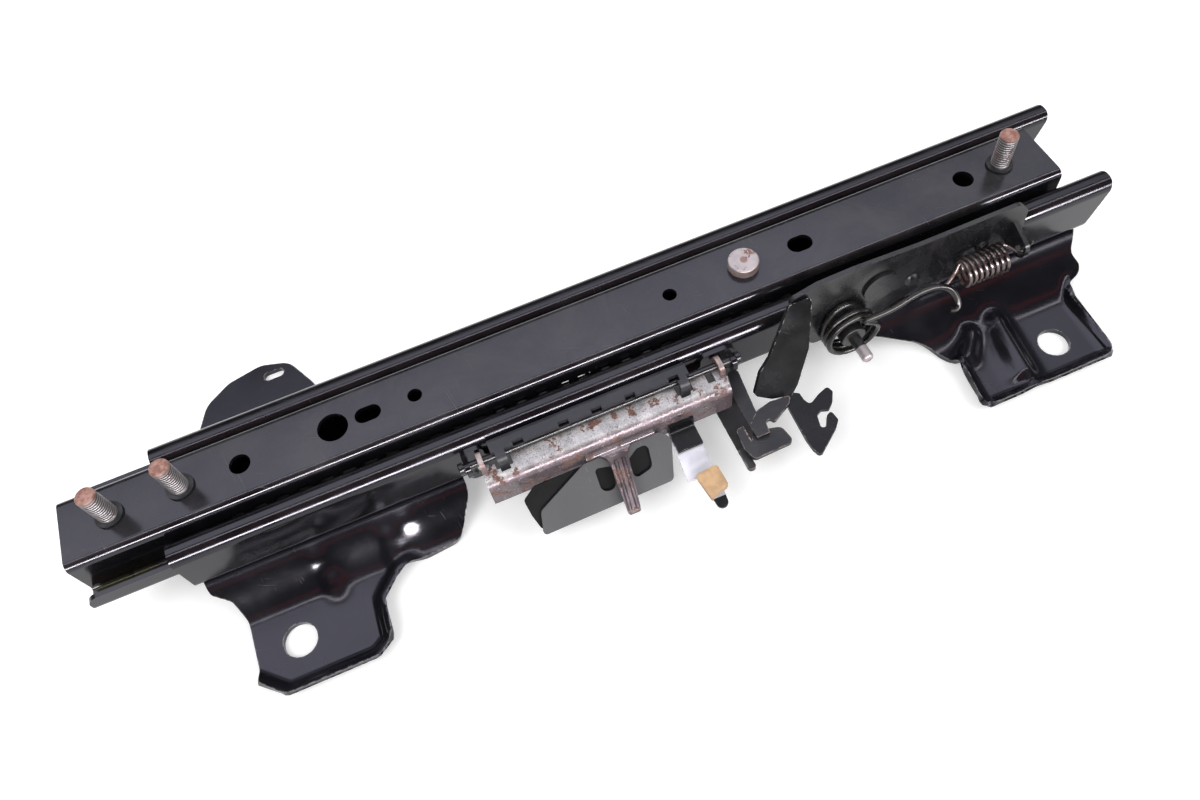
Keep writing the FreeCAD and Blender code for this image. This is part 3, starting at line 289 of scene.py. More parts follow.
class Coat:
    """A finish in the making: the colour, roughness, metalness and height laid on so far."""

    def __init__(self, name, color, rough, metallic, specular, tint, smudge, smudge_scale, tone):
        self.material, self.n, self.shader = blank_material(name)
        n = self.n
        self.material.diffuse_color = (*color, 1.0)
        n.feed(self.shader, "Specular IOR Level", specular)
        n.feed(self.shader, "Specular Tint", tint)
        self.place = n.add("ShaderNodeTexCoord").outputs["Object"]
        self.cloud = n.noise(self.place, smudge_scale, 4.0, 0.6, 0.3, 2.0)
        self.color = color
        self.paint = self.clouded(color, 1.0 - tone, 1.0 + tone)
        self.shine = n.blend(n.ramp(self.cloud, 0.32, 0.68), rough - smudge, rough + smudge)
        self.metal = metallic
        self.height = 0.0

    def clouded(self, color, dark, light):
        """A colour that changes between a darker and a lighter share of itself."""
        return self.n.mix(self.n.ramp(self.cloud, 0.3, 0.7), scaled(color, dark), scaled(color, light))

    def lay(self, mask, color, shine=None, hides_metal=False):
        """Lays a colour on where the mask is, with its own roughness if one is given."""
        n = self.n
        self.paint = n.mix(mask, self.paint, color)
        if shine is not None:
            self.shine = n.blend(mask, self.shine, shine)
        if hides_metal:
            self.metal = n.times(self.metal, n.flip(mask))

    def shared(self, tree, **levels):
        """The outputs of a shared effect."""
        return self.n.add("ShaderNodeGroup", {"node_tree": tree}, Place=self.place, **levels).outputs

    def rub_and_light_top(self, color, rough):
        """Worn satin on faces that look up, in a lighter colour that is partly wear and partly painted
        light; the glossy coat stays on the sides.
        """
        n = self.n
        worn_and_lit = n.ramp(n.axis(n.normal(), Z), 0.75, 0.97)
        satin = n.blend(self.cloud, rough - 0.1, rough + 0.1)
        self.lay(worn_and_lit, self.clouded(color, 0.72, 1.3), satin)

    def speckle(self, amount):
        """Fine dark specks between brighter grains of the plating."""
        n = self.n
        grains = n.noise(self.place, 1500.0, 3.0, 0.6, 0.0, 15.0)
        patches = n.ramp(n.noise(self.place, 130.0, 3.0, 0.6, 0.4, 17.0), 0.35, 0.65)
        share = n.times(n.blend(patches, 0.35, 1.0), amount)
        self.lay(n.times(n.ramp(grains, 0.50, 0.64), share), GRAIN_DARK)
        self.lay(n.times(n.ramp(grains, 0.44, 0.30), 0.6), GRAIN_BRIGHT)

    def scratch(self, amount):
        """Fine scratches, paler than the coat."""
        pale = tuple(c * 1.6 + 0.06 for c in self.color)
        self.lay(self.shared(SCRATCHES, Amount=amount)["Mask"], pale, 0.5)

    def wear_and_glint_edges(self, amount, width, color):
        """Bare metal along the edges, partly wear and partly a painted highlight on the unrounded
        edges.
        """
        edge = self.shared(EDGE_WEAR_GLINT, Amount=amount, Width=width)["Mask"]
        self.lay(edge, color, 0.38)
        self.metal = self.n.math("MAXIMUM", self.metal, self.n.times(edge, 0.7))

    def dust(self, amount):
        """Settled dust."""
        self.lay(self.shared(DUST, Amount=amount)["Mask"], DUST_GREY, 0.75)

    def ripple(self, amount, scale):
        """Small unevenness of the surface."""
        self.height = self.n.times(self.n.noise(self.place, scale, 3.0, 0.5, 0.0, 6.0), amount)

    def rust_cap(self, low, high, share):
        """Rust over nearly all that stands above a level."""
        n = self.n
        patches = n.ramp(n.noise(self.place, 420.0, 4.0, 0.6, 0.5, 11.0), 0.40, 0.60)
        cap = n.times(n.ramp(n.axis(self.place, Z), low, high), share)
        self.lay(cap, n.mix(patches, CAP_RUST_DARK, CAP_RUST_LIGHT), 0.55, hides_metal=True)

    def rust_spots(self, amount, scale, seed):
        """Clusters of rust that stand a little proud."""
        spots = self.shared(RUST, Amount=amount, Scale=scale, Seed=seed)
        self.lay(spots["Mask"], spots["Color"], 0.85, hides_metal=True)
        self.height = self.n.math("ADD", self.height, self.n.times(spots["Mask"], 0.25))

    def shade_threads(self, axes):
        """Painted shade in the threads: dark wherever the surface is near the axis of a stud."""
        n = self.n
        near = n.off_axis(self.place, axes[0], RAIL_Y)
        for x in axes[1:]:
            near = n.math("MINIMUM", near, n.off_axis(self.place, x, RAIL_Y))
        body = n.math("LESS_THAN", n.axis(self.place, Z), THREAD_TOP)
        deep = n.times(n.flip(n.ramp(near, *THREAD_ROOT)), body)
        self.lay(deep, THREAD_SHADE, 0.6, hides_metal=True)

    def brown_head(self, x, y, spot, rim):
        """A brown spot at the middle of a round head, and a brown ring along its rim."""
        n = self.n
        waver = n.times(n.math("SUBTRACT", self.cloud, 0.5), 0.0012)
        away = n.math("ADD", n.off_axis(self.place, x, y), waver)
        middle_spot = n.flip(n.ramp(away, spot * 0.6, spot))
        on_head = n.math("LESS_THAN", away, HEAD_REACH)
        ring_mask = n.times(n.ramp(away, rim - 0.0004, rim + 0.0001), on_head)
        brown = n.times(n.math("MAXIMUM", middle_spot, ring_mask), 0.8)
        self.lay(brown, HEAD_BROWN, hides_metal=True)

    def grease(self, end, level):
        """Olive grease smeared low down at the left end."""
        n = self.n
        fade_along, fade_up = 0.008, 0.003
        near_end = n.flip(n.ramp(n.axis(self.place, X), end - fade_along, end))
        low_down = n.flip(n.ramp(n.axis(self.place, Z), level - fade_up, level))
        smear = n.ramp(n.noise(self.place, 160.0, 4.0, 0.6, 1.2, 13.0), 0.36, 0.52)
        self.lay(n.times(near_end, low_down, smear), OLIVE)

    def blacken_across(self, low, high):
        """Black between two lines across the rail."""
        n = self.n
        across = n.axis(self.place, Y)
        back = n.times(n.math("GREATER_THAN", across, low), n.math("LESS_THAN", across, high))
        self.lay(back, BACK_BLACK, hides_metal=True)

    def shade_under(self, level):
        """Painted shade: black below a level, for the dark recess round a stud's base."""
        low = self.n.math("LESS_THAN", self.n.axis(self.place, Z), level)
        self.lay(low, COLLAR_SHADE, hides_metal=True)

    def done(self):
        """Joins everything to the shader."""
        n = self.n
        relief = n.add("ShaderNodeBump", Height=self.height, Strength=RELIEF_STRENGTH,
                       Distance=RELIEF_DEPTH)
        n.feed(self.shader, "Base Color", self.paint)
        n.feed(self.shader, "Roughness", self.shine)
        n.feed(self.shader, "Metallic", self.metal)
        n.feed(self.shader, "Normal", relief.outputs[0])
        return self.material


def finish(name, color, rough, metallic=0.0, specular=0.5, tint=(1.0, 1.0, 1.0), smudge=0.08,
           smudge_scale=60.0, tone=0.12, top=None, speckle=0.0, scratches=0.0, wear_glint=0.0,
           wear_glint_width=0.0006, wear_glint_color=BARE_EDGE_GLINT, dust=0.0, ripple=0.02, ripple_scale=900.0,
           rust=0.0, rust_scale=220.0, rust_seed=0.0, rust_over=None, grooves=None, dot=None,
           grease=None, dark_over=None, dark_under=None):
    """One of the rail's finishes, with its effects laid on from the coat outwards."""
    coat = Coat(name, color, rough, metallic, specular, tint, smudge, smudge_scale, tone)
    # Worn satin and painted light on the faces that look up
    if top:
        coat.rub_and_light_top(*top)
    if speckle:
        coat.speckle(speckle)
    if scratches:
        coat.scratch(scratches)
    # Edge wear, partly a painted highlight on sharp edges
    if wear_glint:
        coat.wear_and_glint_edges(wear_glint, wear_glint_width, wear_glint_color)
    if dust:
        coat.dust(dust)
    coat.ripple(ripple, ripple_scale)
    if rust_over:
        coat.rust_cap(*rust_over)
    if rust:
        coat.rust_spots(rust, rust_scale, rust_seed)
    # Painted shade in the stud threads
    if grooves:
        coat.shade_threads(grooves)
    if dot:
        coat.brown_head(*dot)
    if grease:
        coat.grease(*grease)
    if dark_over:
        coat.blacken_across(*dark_over)
    # Painted shade on the studs' collars in the recess
    if dark_under:
        coat.shade_under(dark_under)
    return coat.done()


BLACK = (0.006, 0.0055, 0.007)
VIOLET = (0.93, 0.90, 1.0)
STUDS = {"front_stud": -46.3, "middle_stud": -18.3, "rear_stud": 344.0}   # X in millimetres
FINISHES = {
    "rail_black": dict(
        color=BLACK, rough=0.17, specular=0.45, tint=VIOLET, smudge=0.05, tone=0.25, wear_glint=0.16,
        wear_glint_width=0.0004, dust=0.03, scratches=0.25, ripple=0.03),
    "top_grey": dict(
        color=BLACK, rough=0.15, tint=VIOLET, smudge=0.05, tone=0.25, wear_glint=0.16,
        wear_glint_width=0.0004, dust=0.10, scratches=0.5, top=((0.014, 0.0135, 0.016), 0.18),
        grease=(-0.036, 0.0270)),
    # The foot's strong edge wear is partly a painted highlight along its rims
    "foot_black": dict(
        color=(0.006, 0.006, 0.008), rough=0.13, tint=VIOLET, smudge=0.04, tone=0.2,
        smudge_scale=25.0, wear_glint=0.55, wear_glint_width=0.0008, dust=0.02, scratches=0.2, ripple=0.10,
        ripple_scale=700.0, top=((0.008, 0.008, 0.012), 0.24)),
    "bracket_dusty": dict(
        color=(0.012, 0.012, 0.014), rough=0.26, specular=0.4, tone=0.3, smudge_scale=90.0,
        wear_glint=0.3, dust=0.12, rust=0.14, rust_scale=420.0, rust_seed=4.0, scratches=0.6),
    "lock_grey": dict(
        color=(0.026, 0.026, 0.033), rough=0.42, specular=0.35, wear_glint=0.3, dust=0.07,
        scratches=0.3),
    "guard_grey": dict(
        color=(0.062, 0.063, 0.070), rough=0.46, specular=0.2, smudge_scale=35.0, wear_glint=0.25,
        scratches=0.5, dust=0.06),
    # Painted light: the zinc lever's tops are laid on far lighter than its darker sides; its ears
    # above 36.2 mm are darkened with the rust colours
    "zinc": dict(
        color=(0.155, 0.115, 0.128), rough=0.36, metallic=0.35, tone=0.22, smudge=0.1,
        smudge_scale=150.0, rust=0.50, rust_scale=700.0, rust_seed=1.5,
        rust_over=(0.0362, 0.0374, 0.35), speckle=0.8, ripple=0.45, ripple_scale=1300.0,
        top=((0.46, 0.44, 0.45), 0.40)),
    # Painted light: lighter tops over darker sides, as on the zinc lever
    "finger_zinc": dict(
        color=(0.13, 0.105, 0.115), rough=0.30, metallic=0.7, tone=0.25, rust=0.46,
        rust_scale=700.0, rust_seed=8.0, ripple=0.2, top=((0.19, 0.17, 0.18), 0.34)),
    # The studs' collars below dark_under are painted black as shade in the recess round the base
    "stud_steel": dict(
        color=(0.26, 0.245, 0.25), rough=0.38, metallic=0.75, smudge=0.04, tone=0.3, rust=0.42,
        rust_scale=560.0, rust_seed=3.0, rust_over=(0.0612, 0.0630, 0.9), dark_under=0.0470,
        grooves=[x * MM for x in STUDS.values()]),
    "pin_steel": dict(
        color=(0.44, 0.39, 0.40), rough=0.42, metallic=0.4, tone=0.15, smudge_scale=200.0,
        rust=0.46, rust_scale=600.0, rust_seed=6.0, ripple=0.25, dark_over=(0.0148, 0.042),
        dot=(0.2224, RAIL_Y, 0.0021, 0.0066)),
    "ball_steel": dict(
        color=(0.55, 0.55, 0.57), rough=0.12, metallic=1.0, tone=0.05, smudge=0.05),
    "cage_grey": dict(
        color=(0.06, 0.06, 0.06), rough=0.4, metallic=0.6, tone=0.2),
    "coil_dark": dict(
        color=(0.016, 0.014, 0.013), rough=0.26, metallic=0.2, tone=0.3, rust=0.30,
        rust_scale=500.0, rust_seed=5.0),
    "coil_brown": dict(
        color=(0.13, 0.105, 0.10), rough=0.24, metallic=0.85, tone=0.3, rust=0.36,
        rust_scale=620.0, rust_seed=2.0),
    "leaf_steel": dict(
        color=(0.80, 0.78, 0.83), rough=0.2, metallic=0.5, tone=0.08, smudge=0.1,
        dark_over=(-1.0, -0.0194)),
    "tape_tan": dict(
        color=(0.52, 0.33, 0.18), rough=0.62, specular=0.35, tone=0.22, smudge_scale=180.0,
        rust=0.12, rust_scale=300.0, ripple=1.0, ripple_scale=420.0),
    "rivet_black": dict(
        color=(0.010, 0.010, 0.012), rough=0.25, wear_glint=0.4, dust=0.05),
    "sheet_black": dict(
        color=(0.008, 0.008, 0.010), rough=0.22, specular=0.16, tone=0.3, wear_glint=0.5, dust=0.07,
        scratches=0.5, ripple=0.08),
    "sheet_shaded": dict(
        color=(0.007, 0.007, 0.008), rough=0.5, specular=0.04, tone=0.3, dust=0.03),
    "arm_black": dict(
        color=(0.014, 0.014, 0.018), rough=0.34, specular=0.3, tone=0.3, wear_glint=0.55,
        wear_glint_width=0.0007, wear_glint_color=(0.40, 0.30, 0.26), dust=0.10, scratches=0.7, rust=0.2,
        rust_scale=420.0, rust_seed=4.0),
}
OWN_LOOK = {"release_arm": "arm_black", "handle_strap": "arm_black", "handle_tab": "arm_black",
            "cable_bracket": "sheet_black", "cable_hook": "sheet_black",
            "leaf_clamp": "sheet_black", "guard_back": "sheet_shaded"}
M = {name: finish(name, **look) for name, look in FINISHES.items()}
SLOTS = {entry["node"]: entry["material_slot"] for entry in frame["record"]["subparts"]}


# Pieces

JOIN_WITHIN = 1e-6       # metres
FLAT_WITHIN = 0.0005     # radians
SMOOTH_PACKED = 32.0     # bends below these angles shade smoothly
SMOOTH_PRESSED = 40.0
SMOOTH_THREAD = 55.0


def soften(work, limit):
    """Smooth shading, but for edges that bend by more than the limit in degrees."""
    for f in work.faces:
        f.smooth = True
    for e in work.edges:
        e.smooth = len(e.link_faces) == 2 and e.calc_face_angle(0.0) < math.radians(limit)


def take_place(name, mesh, node):
    """An object with the node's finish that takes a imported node's place."""
    piece = bpy.data.objects.new(name, mesh)
    bpy.context.scene.collection.objects.link(piece)
    mesh.materials.clear()
    mesh.materials.append(M[OWN_LOOK.get(node, SLOTS[node])])
    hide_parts(node)
    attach(piece, frame["nodes"][node]["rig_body"])
    return piece


def new_piece(name, verts, faces, node, limit):
    """A new shape, in millimetres from the rail's centre line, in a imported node's place."""
    mesh = bpy.data.meshes.new(name)
    placed = np.array(verts) * MM + np.array([0.0, RAIL_Y, 0.0])
    mesh.from_pydata([tuple(v) for v in placed], [], [tuple(f) for f in faces])
    work = bmesh.new()
    work.from_mesh(mesh)
    bmesh.ops.recalc_face_normals(work, faces=work.faces)
    soften(work, limit)
    work.to_mesh(mesh)
    work.free()
    take_place(name, mesh, node)


def dress(node):
    """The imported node's own shape, its triangles joined so that bends and rounds shade smoothly."""
    mesh = frame["nodes"][node].data.copy()
    mesh.name = f"{node}_skin"
    work = bmesh.new()
    work.from_mesh(mesh)
    bmesh.ops.remove_doubles(work, verts=work.verts, dist=JOIN_WITHIN)
    bmesh.ops.dissolve_limit(work, angle_limit=FLAT_WITHIN, verts=work.verts, edges=work.edges)
    bmesh.ops.triangulate(work, faces=[f for f in work.faces if len(f.verts) > 4])
    soften(work, SMOOTH_PACKED)
    work.to_mesh(mesh)
    work.free()
    piece = take_place(f"{node}_dressed", mesh, node)
    weighted = piece.modifiers.new("weighted_normals", "WEIGHTED_NORMAL")
    weighted.keep_sharp = True


# Pressed feet, in millimetres

FOOT_SHEET = 2.5
FOOT_TOP = 15.0
OUTLINE_STEP = 1.2
BEND_SHARE = 0.49        # most of a side that one bend may take
RING_COUNT = 40          # points round a round hole
SLOT_END_COUNT = 20      # points round one end of a slot
GRID_STEP = 1.3
GRID_GAP = 0.7           # room between the grid and the outlines
SAME_POINT = 1e-5        # points nearer than this are one
SLOPE_STEP = 0.05
LEFT_OUTLINE = [
    (-29.0, -20.0, 0), (-27.0, -31.5, 3), (-20.5, -36.0, 3), (-18.0, -44.0, 4),
    (-18.0, -71.0, 1.5), (-9.0, -79.9, 8), (31.5, -80.0, 9), (36.3, -71.0, 6),
    (36.5, -57.5, 12), (50.5, -47.5, 14), (72.0, -46.0, 8), (82.7, -32.0, 9),
    (82.7, 20.0, 4), (38.0, 33.0, 8), (33.5, 56.0, 14), (25.0, 73.0, 10),
    (12.0, 77.0, 10), (-4.0, 73.8, 12), (-16.0, 66.0, 12), (-22.5, 52.0, 12),
    (-24.0, 34.0, 6), (-29.0, 24.0, 4)]
RIGHT_OUTLINE = [
    (255.0, -30.0, 4), (272.0, -37.5, 12), (289.0, -45.5, 18), (298.0, -62.0, 22),
    (293.5, -83.5, 7), (357.5, -83.5, 7), (359.5, -52.0, 6), (360.5, -46.0, 3),
    (367.5, -43.0, 3), (369.5, -40.0, 3), (367.0, -35.0, 4), (374.0, -26.0, 3),
    (374.0, 27.0, 3), (255.0, 27.0, 3)]


def rounded_loop(corners):
    """Points round a closed outline whose corners (x, y, radius) are rounded by quadratic curves."""
    points = []
    count = len(corners)
    for i, (x, y, radius) in enumerate(corners):
        here = np.array((x, y))
        back = np.array(corners[i - 1][:2]) - here
        ahead = np.array(corners[(i + 1) % count][:2]) - here
        room = BEND_SHARE * min(np.linalg.norm(back), np.linalg.norm(ahead))
        back = back / np.linalg.norm(back)
        ahead = ahead / np.linalg.norm(ahead)
        turn = math.acos(np.clip(back @ ahead, -1.0, 1.0))
        reach = min(radius / math.tan(turn / 2), room)
        if not reach:
            points.append(here)
            continue
        steps = max(3, int(reach * 2 / OUTLINE_STEP))
        for t in np.linspace(0.0, 1.0, steps + 1):
            points.append(here + back * reach * (1 - t) ** 2 + ahead * reach * t ** 2)
    filled = []
    for i, point in enumerate(points):
        after = points[(i + 1) % len(points)]
        parts = max(1, int(np.linalg.norm(after - point) / OUTLINE_STEP))
        filled += [point + (after - point) * k / parts for k in range(parts)]
    return np.array(filled)


def ring(x, y, radius):
    """Points round a circle of the plan."""
    turn = np.linspace(0, 2 * math.pi, RING_COUNT, endpoint=False)
    return np.stack([x + radius * np.cos(turn), y + radius * np.sin(turn)], 1)


def slot_ring(x, y, long, wide):
    """Points round a slot that is long in X."""
    half = (long - wide) / 2
    right = np.linspace(-math.pi / 2, math.pi / 2, SLOT_END_COUNT)
    arc = np.stack([np.cos(right), np.sin(right)], 1) * wide / 2
    return np.vstack([arc + (x + half, y), -arc + (x - half, y)])


def inside(points, loop):
    """Which points of the plan lie inside a closed loop, by crossings to the right."""
    x, y = points[:, :1], points[:, 1:]
    x0, y0 = loop[:, 0], loop[:, 1]
    x1, y1 = np.roll(x0, -1), np.roll(y0, -1)
    spans = (y0 > y) != (y1 > y)
    with np.errstate(divide="ignore", invalid="ignore"):
        cross = x0 + (y - y0) * (x1 - x0) / (y1 - y0)
    return (np.sum(spans & (x < cross), axis=1) % 2) == 1


def step_up(value, low, high):
    """Smooth step from 0 at low to 1 at high."""
    t = np.clip((value - low) / (high - low), 0.0, 1.0)
    return t * t * (3 - 2 * t)


def off_line(points, line):
    """Distance of each plan point from an open line of corners."""
    best = np.full(len(points), np.inf)
    for a, b in zip(line[:-1], line[1:]):
        a, b = np.array(a, float), np.array(b, float)
        along = np.clip((points - a) @ (b - a) / ((b - a) @ (b - a)), 0.0, 1.0)
        best = np.minimum(best, np.linalg.norm(points - (a + along[:, None] * (b - a)), axis=1))
    return best


def ridge(points, a, b, wide, tall):
    """A smooth ridge along a line of the plan."""
    return tall * np.exp(-(off_line(points, [a, b]) / wide) ** 2)


def left_height(points):
    """Left foot: flat under the rail, down both sides in S curves, a raised rim round the pad's
    front and right side, two dents at the foot of the front slope and two small ones along its
    upper edge."""
    x, y = points[:, 0], points[:, 1]
    flanks = np.minimum(step_up(y, -47.0, -25.5), step_up(-y, -44.0, -25.5))
    level = FOOT_SHEET + (FOOT_TOP - FOOT_SHEET) * flanks
    rim_line = [(-20.0, -70.0), (-9.0, -79.9), (28.0, -80.0), (35.5, -75.0), (36.5, -58.0),
                (45.0, -49.5), (56.0, -46.0)]
    rim = 4.6 * (1 - step_up(off_line(points, rim_line), 0.0, 6.0)) * (1 - step_up(x, 46.0, 58.0))
    dents = ridge(points, (19.0, -43.0), (19.01, -43.0), 5.2, 2.8)
    dents += ridge(points, (45.5, -42.0), (46.5, -38.0), 5.0, 3.0)
    dents += ridge(points, (16.0, -34.0), (17.0, -34.0), 3.0, 1.2)
    dents += ridge(points, (54.0, -33.5), (55.5, -33.5), 3.0, 1.2)
    return level + rim + dents


def right_height(points):
    """Right foot: flat under the rail, one S curve to the pad, a raised rim round the pad, a tall
    ridge and a short one to the left of the bolt hole."""
    y = points[:, 1]
    level = FOOT_SHEET + (FOOT_TOP - FOOT_SHEET) * step_up(y, -53.0, -26.0)
    rim_line = [(297.0, -60.0), (294.0, -83.5), (357.0, -83.5), (358.5, -52.0), (362.0, -44.0)]
    rim = 3.6 * (1 - step_up(off_line(points, rim_line), 0.0, 4.5))
    ridges = ridge(points, (321.5, -50.0), (318.3, -75.0), 5.2, 5.0)
    ridges += ridge(points, (309.0, -50.0), (302.0, -58.0), 4.2, 4.0)
    return level + rim * (1 - step_up(y, -50.0, -40.0)) + ridges


def pressed_sheet(node, outline, holes, height):
    """A pressed sheet: its plan filled with triangles, each point raised to the height function,
    and the same surface one sheet lower along its normal, closed by walls round the outline and
    the holes."""
    loops = [rounded_loop(outline)] + holes
    low, high = loops[0].min(axis=0), loops[0].max(axis=0)
    across, along = np.meshgrid(np.arange(low[0], high[0], GRID_STEP),
                                np.arange(low[1], high[1], GRID_STEP))
    grid = np.stack([across.ravel(), along.ravel()], 1)
    keep = inside(grid, loops[0])
    for loop in holes:
        keep &= ~inside(grid, loop)
    for loop in loops:
        keep &= off_line(grid, np.vstack([loop, loop[:1]])) > GRID_GAP
    points = np.vstack(loops + [grid[keep]])
    edges = []
    first = 0
    for loop in loops:
        edges += [(first + i, first + (i + 1) % len(loop)) for i in range(len(loop))]
        first += len(loop)
    result = geometry.delaunay_2d_cdt([Vector(p) for p in points], edges, [], 0, SAME_POINT)
    plan = np.array([(v.x, v.y) for v in result[0]])
    triangles = np.array([f for f in result[2] if len(f) == 3])
    middle = plan[triangles].mean(axis=1)
    good = inside(middle, loops[0])
    for loop in holes:
        good &= ~inside(middle, loop)
    triangles = triangles[good]

    slopes = [(height(plan + step) - height(plan - step)) / (2 * SLOPE_STEP)
              for step in ((SLOPE_STEP, 0), (0, SLOPE_STEP))]
    normal = np.stack([-slopes[0], -slopes[1], np.ones(len(plan))], 1)
    normal /= np.linalg.norm(normal, axis=1)[:, None]
    upper = np.column_stack([plan, height(plan)])
    lower = upper - normal * FOOT_SHEET
    lower[:, 2] = np.maximum(lower[:, 2], 0.0)

    count = len(plan)
    faces = [tuple(t) for t in triangles]
    faces += [(t[2] + count, t[1] + count, t[0] + count) for t in triangles]
    sides = {}
    for a, b, c in triangles:
        for side in ((a, b), (b, c), (c, a)):
            key = (min(side), max(side))
            sides[key] = sides.get(key, 0) + 1
    faces += [(u, v, v + count, u + count) for (u, v), times in sides.items() if times == 1]
    new_piece(f"{node}_pressed", np.vstack([upper, lower]), faces, node, SMOOTH_PRESSED)


# Threaded studs, in millimetres

STUD_COUNT = 40          # points round a stud
STUD_BASE = 45.5
STUD_TIP = 63.5
STUD_RADIUS = 3.95
STUD_COLLAR = [(6.5, -4.0), (6.5, -2.0), (4.0, -2.0), (4.0, 0.0), (5.3, 0.0), (5.7, 0.4),
               (5.6, 1.1), (4.4, 1.2)]
STUD_END = [(3.75, -0.5), (3.3, -0.1), (2.9, 0.0), (1.4, -0.05)]
THREAD_PITCH = 1.25
THREAD_DEPTH = 0.62
THREAD_ROW = 0.14
TIP_WOBBLE = 0.06


def turned_grid(x, turn, radii, levels):
    """A turned surface: rows of points round an upright axis, closed at both ends; radii hold a
    value per point."""
    count = len(turn)
    rows = len(levels)
    verts = [(x, 0.0, levels[0])]
    for radius, level in zip(radii, levels):
        verts += [(x + r * math.cos(t), r * math.sin(t), level) for r, t in zip(radius, turn)]
    verts.append((x, 0.0, levels[-1]))
    last = len(verts) - 1
    faces = [(0, 1 + (i + 1) % count, 1 + i) for i in range(count)]
    for row in range(rows - 1):
        near, far = 1 + row * count, 1 + (row + 1) * count
        faces += [(near + i, near + (i + 1) % count, far + (i + 1) % count, far + i)
                  for i in range(count)]
    near = 1 + (rows - 1) * count
    faces += [(last, near + i, near + (i + 1) % count) for i in range(count)]
    return verts, faces


def threaded_stud(node, x):
    """Stud whose shank carries a helical thread: the radius falls by a rounded triangle wave of
    height along the pitch less the turn, and the wave fades in above the collar and out at the
    tip."""
    turn = np.linspace(0, 2 * math.pi, STUD_COUNT, endpoint=False)
    radii = [np.full(STUD_COUNT, r) for r, z in STUD_COLLAR]
    levels = [STUD_BASE + z for r, z in STUD_COLLAR]
    for z in np.arange(STUD_BASE + 1.3, STUD_TIP - 0.9, THREAD_ROW):
        wave = np.abs(((z / THREAD_PITCH - turn / (2 * math.pi)) % 1.0) * 2 - 1)
        fade_in = step_up(z, STUD_BASE + 1.2, STUD_BASE + 3.0)
        fade_out = 1 - step_up(z, STUD_TIP - 2.2, STUD_TIP - 0.9)
        radii.append(STUD_RADIUS - THREAD_DEPTH * fade_in * fade_out * step_up(wave, 0.08, 0.92))
        levels.append(z)
    wobble = TIP_WOBBLE * np.sin(3 * turn + x)
    radii += [r + wobble for r, z in STUD_END]
    levels += [STUD_TIP + z for r, z in STUD_END]
    verts, faces = turned_grid(x, turn, radii, levels)
    new_piece(f"{node}_threaded", verts, faces, node, SMOOTH_THREAD)


LEFT_HOLES = [ring(0.0, -59.6, 7.0), slot_ring(16.9, 69.4, 9.6, 4.6)]
RIGHT_HOLES = [ring(339.0, -67.4, 6.7)]
for node in frame["nodes"]:
    if node in STUDS:
        threaded_stud(node, STUDS[node])
    elif node == "left_foot":
        pressed_sheet(node, LEFT_OUTLINE, LEFT_HOLES, left_height)
    elif node == "right_foot":
        pressed_sheet(node, RIGHT_OUTLINE, RIGHT_HOLES, right_height)
    else:
        dress(node)


# Floor, lights and camera

FLOOR_HALF = 6.0
FLOOR_LEVEL = -0.0004
ROOM_HALF = 1.7
ROOM_GAP = 0.16          # the walls start above the white floor
ROOM_TOP = 1.75
DARK = (0.02, 0.02, 0.025)
SCREEN_BLUE = (0.86, 0.88, 1.0)
STRIP_WHITE = (1.0, 0.98, 1.0)
STRIP_RED = (1.0, 0.12, 0.10)
LAMP_AIM = (0.15, 0.05, 0.03)


def flat_sheet(name, corners, material):
    """A four-cornered sheet that belongs to the studio."""
    mesh = bpy.data.meshes.new(name)
    mesh.from_pydata(corners, [], [(0, 1, 2, 3)])
    mesh.materials.append(material)
    piece = bpy.data.objects.new(name, mesh)
    bpy.context.scene.collection.objects.link(piece)
    return piece


def looked_at(n):
    """1 where the camera, gloss or glass looks, 0 for the light that falls on things."""
    path = n.add("ShaderNodeLightPath").outputs
    seen = n.math("MAXIMUM", path["Is Camera Ray"], path["Is Glossy Ray"])
    return n.math("MAXIMUM", seen, path["Is Transmission Ray"])


def plain_floor():
    """A wide pale floor that the camera sees as white, with the rail's soft shadow."""
    material, n, shader = blank_material("floor_white")
    n.feed(shader, "Base Color", (0.86, 0.86, 0.86))
    n.feed(shader, "Roughness", 0.9)
    n.feed(shader, "Specular IOR Level", 0.0)
    n.feed(shader, "Emission Color", (1.0, 1.0, 1.0))
    n.feed(shader, "Emission Strength", n.times(looked_at(n), 0.34))
    corners = [(-FLOOR_HALF, -FLOOR_HALF, FLOOR_LEVEL), (FLOOR_HALF, -FLOOR_HALF, FLOOR_LEVEL),
               (FLOOR_HALF, FLOOR_HALF, FLOOR_LEVEL), (-FLOOR_HALF, FLOOR_HALF, FLOOR_LEVEL)]
    flat_sheet("floor", corners, material)


def studio_world(level):
    """White to the camera and to reflections, a level grey dome for the light."""
    world = bpy.data.worlds.new("studio")
    bpy.context.scene.world = world
    world.use_nodes = True
    n = Nodes(world.node_tree)
    background = world.node_tree.nodes["Background"]
    n.feed(background, "Color", (1.0, 1.0, 1.0))
    n.feed(background, "Strength", n.blend(looked_at(n), level, 1.0))


def softbox(name, place, size, watts):
    """An area lamp at a place, turned to the rail, that gloss doesn't mirror."""
    lamp = bpy.data.lights.new(name, "AREA")
    lamp.shape = "RECTANGLE"
    lamp.size, lamp.size_y = size
    lamp.energy = watts
    light = bpy.data.objects.new(name, lamp)
    bpy.context.scene.collection.objects.link(light)
    light.visible_glossy = False
    light.location = place
    light.rotation_euler = (Vector(place) - Vector(LAMP_AIM)).to_track_quat("Z", "Y").to_euler()


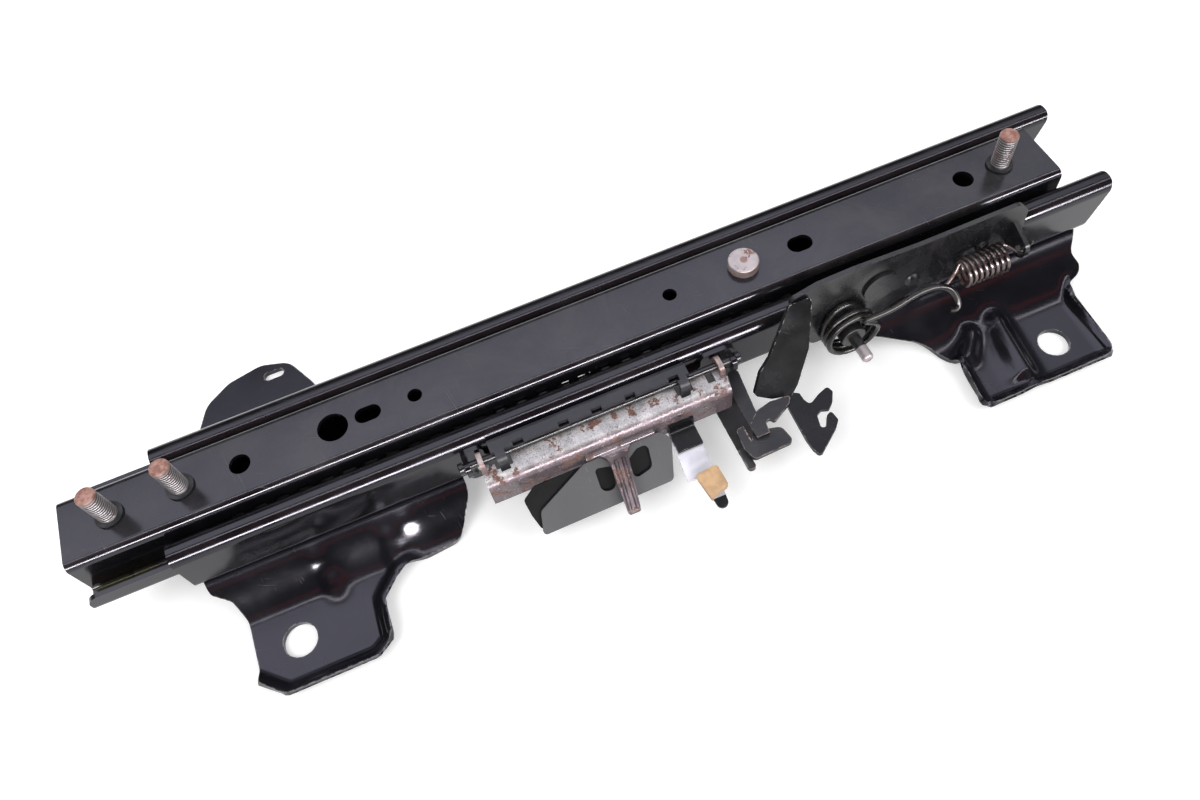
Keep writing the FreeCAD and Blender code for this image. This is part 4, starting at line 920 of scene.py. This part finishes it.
def card(name, corners, tint, strength):
    """A card that only reflections see, so that gloss mirrors a dark studio round the floor."""
    material, n, shader = blank_material(name)
    n.feed(shader, "Base Color", (0.0, 0.0, 0.0))
    n.feed(shader, "Specular IOR Level", 0.0)
    n.feed(shader, "Emission Color", tint)
    n.feed(shader, "Emission Strength", strength)
    piece = flat_sheet(name, corners, material)
    piece.visible_camera = False
    piece.visible_diffuse = False
    piece.visible_transmission = False
    piece.visible_volume_scatter = False
    piece.visible_shadow = False


def upright_card(name, start, end, low, high, tint, strength):
    """A card that stands between two points of the plan."""
    corners = [(*start, low), (*end, low), (*end, high), (*start, high)]
    card(name, corners, tint, strength)


def level_card(name, low, high, height, tint, strength):
    """A card that lies level over a rectangle of the plan."""
    corners = [(low[0], low[1], height), (high[0], low[1], height), (high[0], high[1], height),
               (low[0], high[1], height)]
    card(name, corners, tint, strength)


def dark_studio():
    """Dark walls and ceiling, with a wide bluish screen above the back, a dim red strip and a
    white one overhead, and a bright low strip in front."""
    corners = [(-ROOM_HALF, -ROOM_HALF), (ROOM_HALF, -ROOM_HALF), (ROOM_HALF, ROOM_HALF),
               (-ROOM_HALF, ROOM_HALF)]
    for i, start in enumerate(corners):
        upright_card(f"dark_wall_{i}", start, corners[(i + 1) % 4], ROOM_GAP, ROOM_TOP, DARK, 1.0)
    level_card("dark_ceiling", corners[0], corners[2], ROOM_TOP, DARK, 1.0)
    level_card("blue_screen", low=(-1.3, 0.36), high=(1.0, 1.18), height=1.45,
               tint=SCREEN_BLUE, strength=2.3)
    level_card("blue_edge", low=(1.0, 0.36), high=(1.65, 1.18), height=1.45,
               tint=SCREEN_BLUE, strength=1.6)
    level_card("red_strip", low=(-1.2, -0.72), high=(1.4, -0.60), height=1.2,
               tint=STRIP_RED, strength=0.9)
    level_card("top_strip", low=(-1.1, -0.07), high=(1.5, 0.05), height=1.3,
               tint=STRIP_WHITE, strength=9.0)
    upright_card("front_strip", start=(-1.5, -1.6), end=(1.7, -1.6), low=0.62, high=0.86,
                 tint=STRIP_WHITE, strength=55.0)


def photo_camera():
    """The camera at the place and lens that the photograph's straight lines give."""
    lens = bpy.data.cameras.new("camera")
    lens.lens = 28.74
    lens.sensor_width = 36.0
    lens.sensor_fit = "HORIZONTAL"
    lens.clip_start = 0.01
    camera = bpy.data.objects.new("camera", lens)
    bpy.context.scene.collection.objects.link(camera)
    right = Vector((0.92115, -0.37717, -0.09607))
    up = Vector((0.37217, 0.78133, 0.50101))
    back = Vector((-0.11390, -0.49726, 0.86009))
    place = Vector((0.1015, -0.15944, 0.3655))
    turn = Matrix((right, up, back)).transposed().to_4x4()
    camera.matrix_world = Matrix.Translation(place) @ turn
    bpy.context.scene.camera = camera


plain_floor()
studio_world(0.55)
dark_studio()
softbox("back_strip", place=(0.20, 1.05, 0.75), size=(1.6, 0.22), watts=9.0)
softbox("key", place=(-0.55, -0.35, 1.15), size=(0.7, 0.7), watts=8.0)
softbox("fill", place=(0.9, -0.6, 0.9), size=(0.6, 0.6), watts=5.0)
photo_camera()

scene = bpy.context.scene
scene.view_settings.view_transform = "Standard"
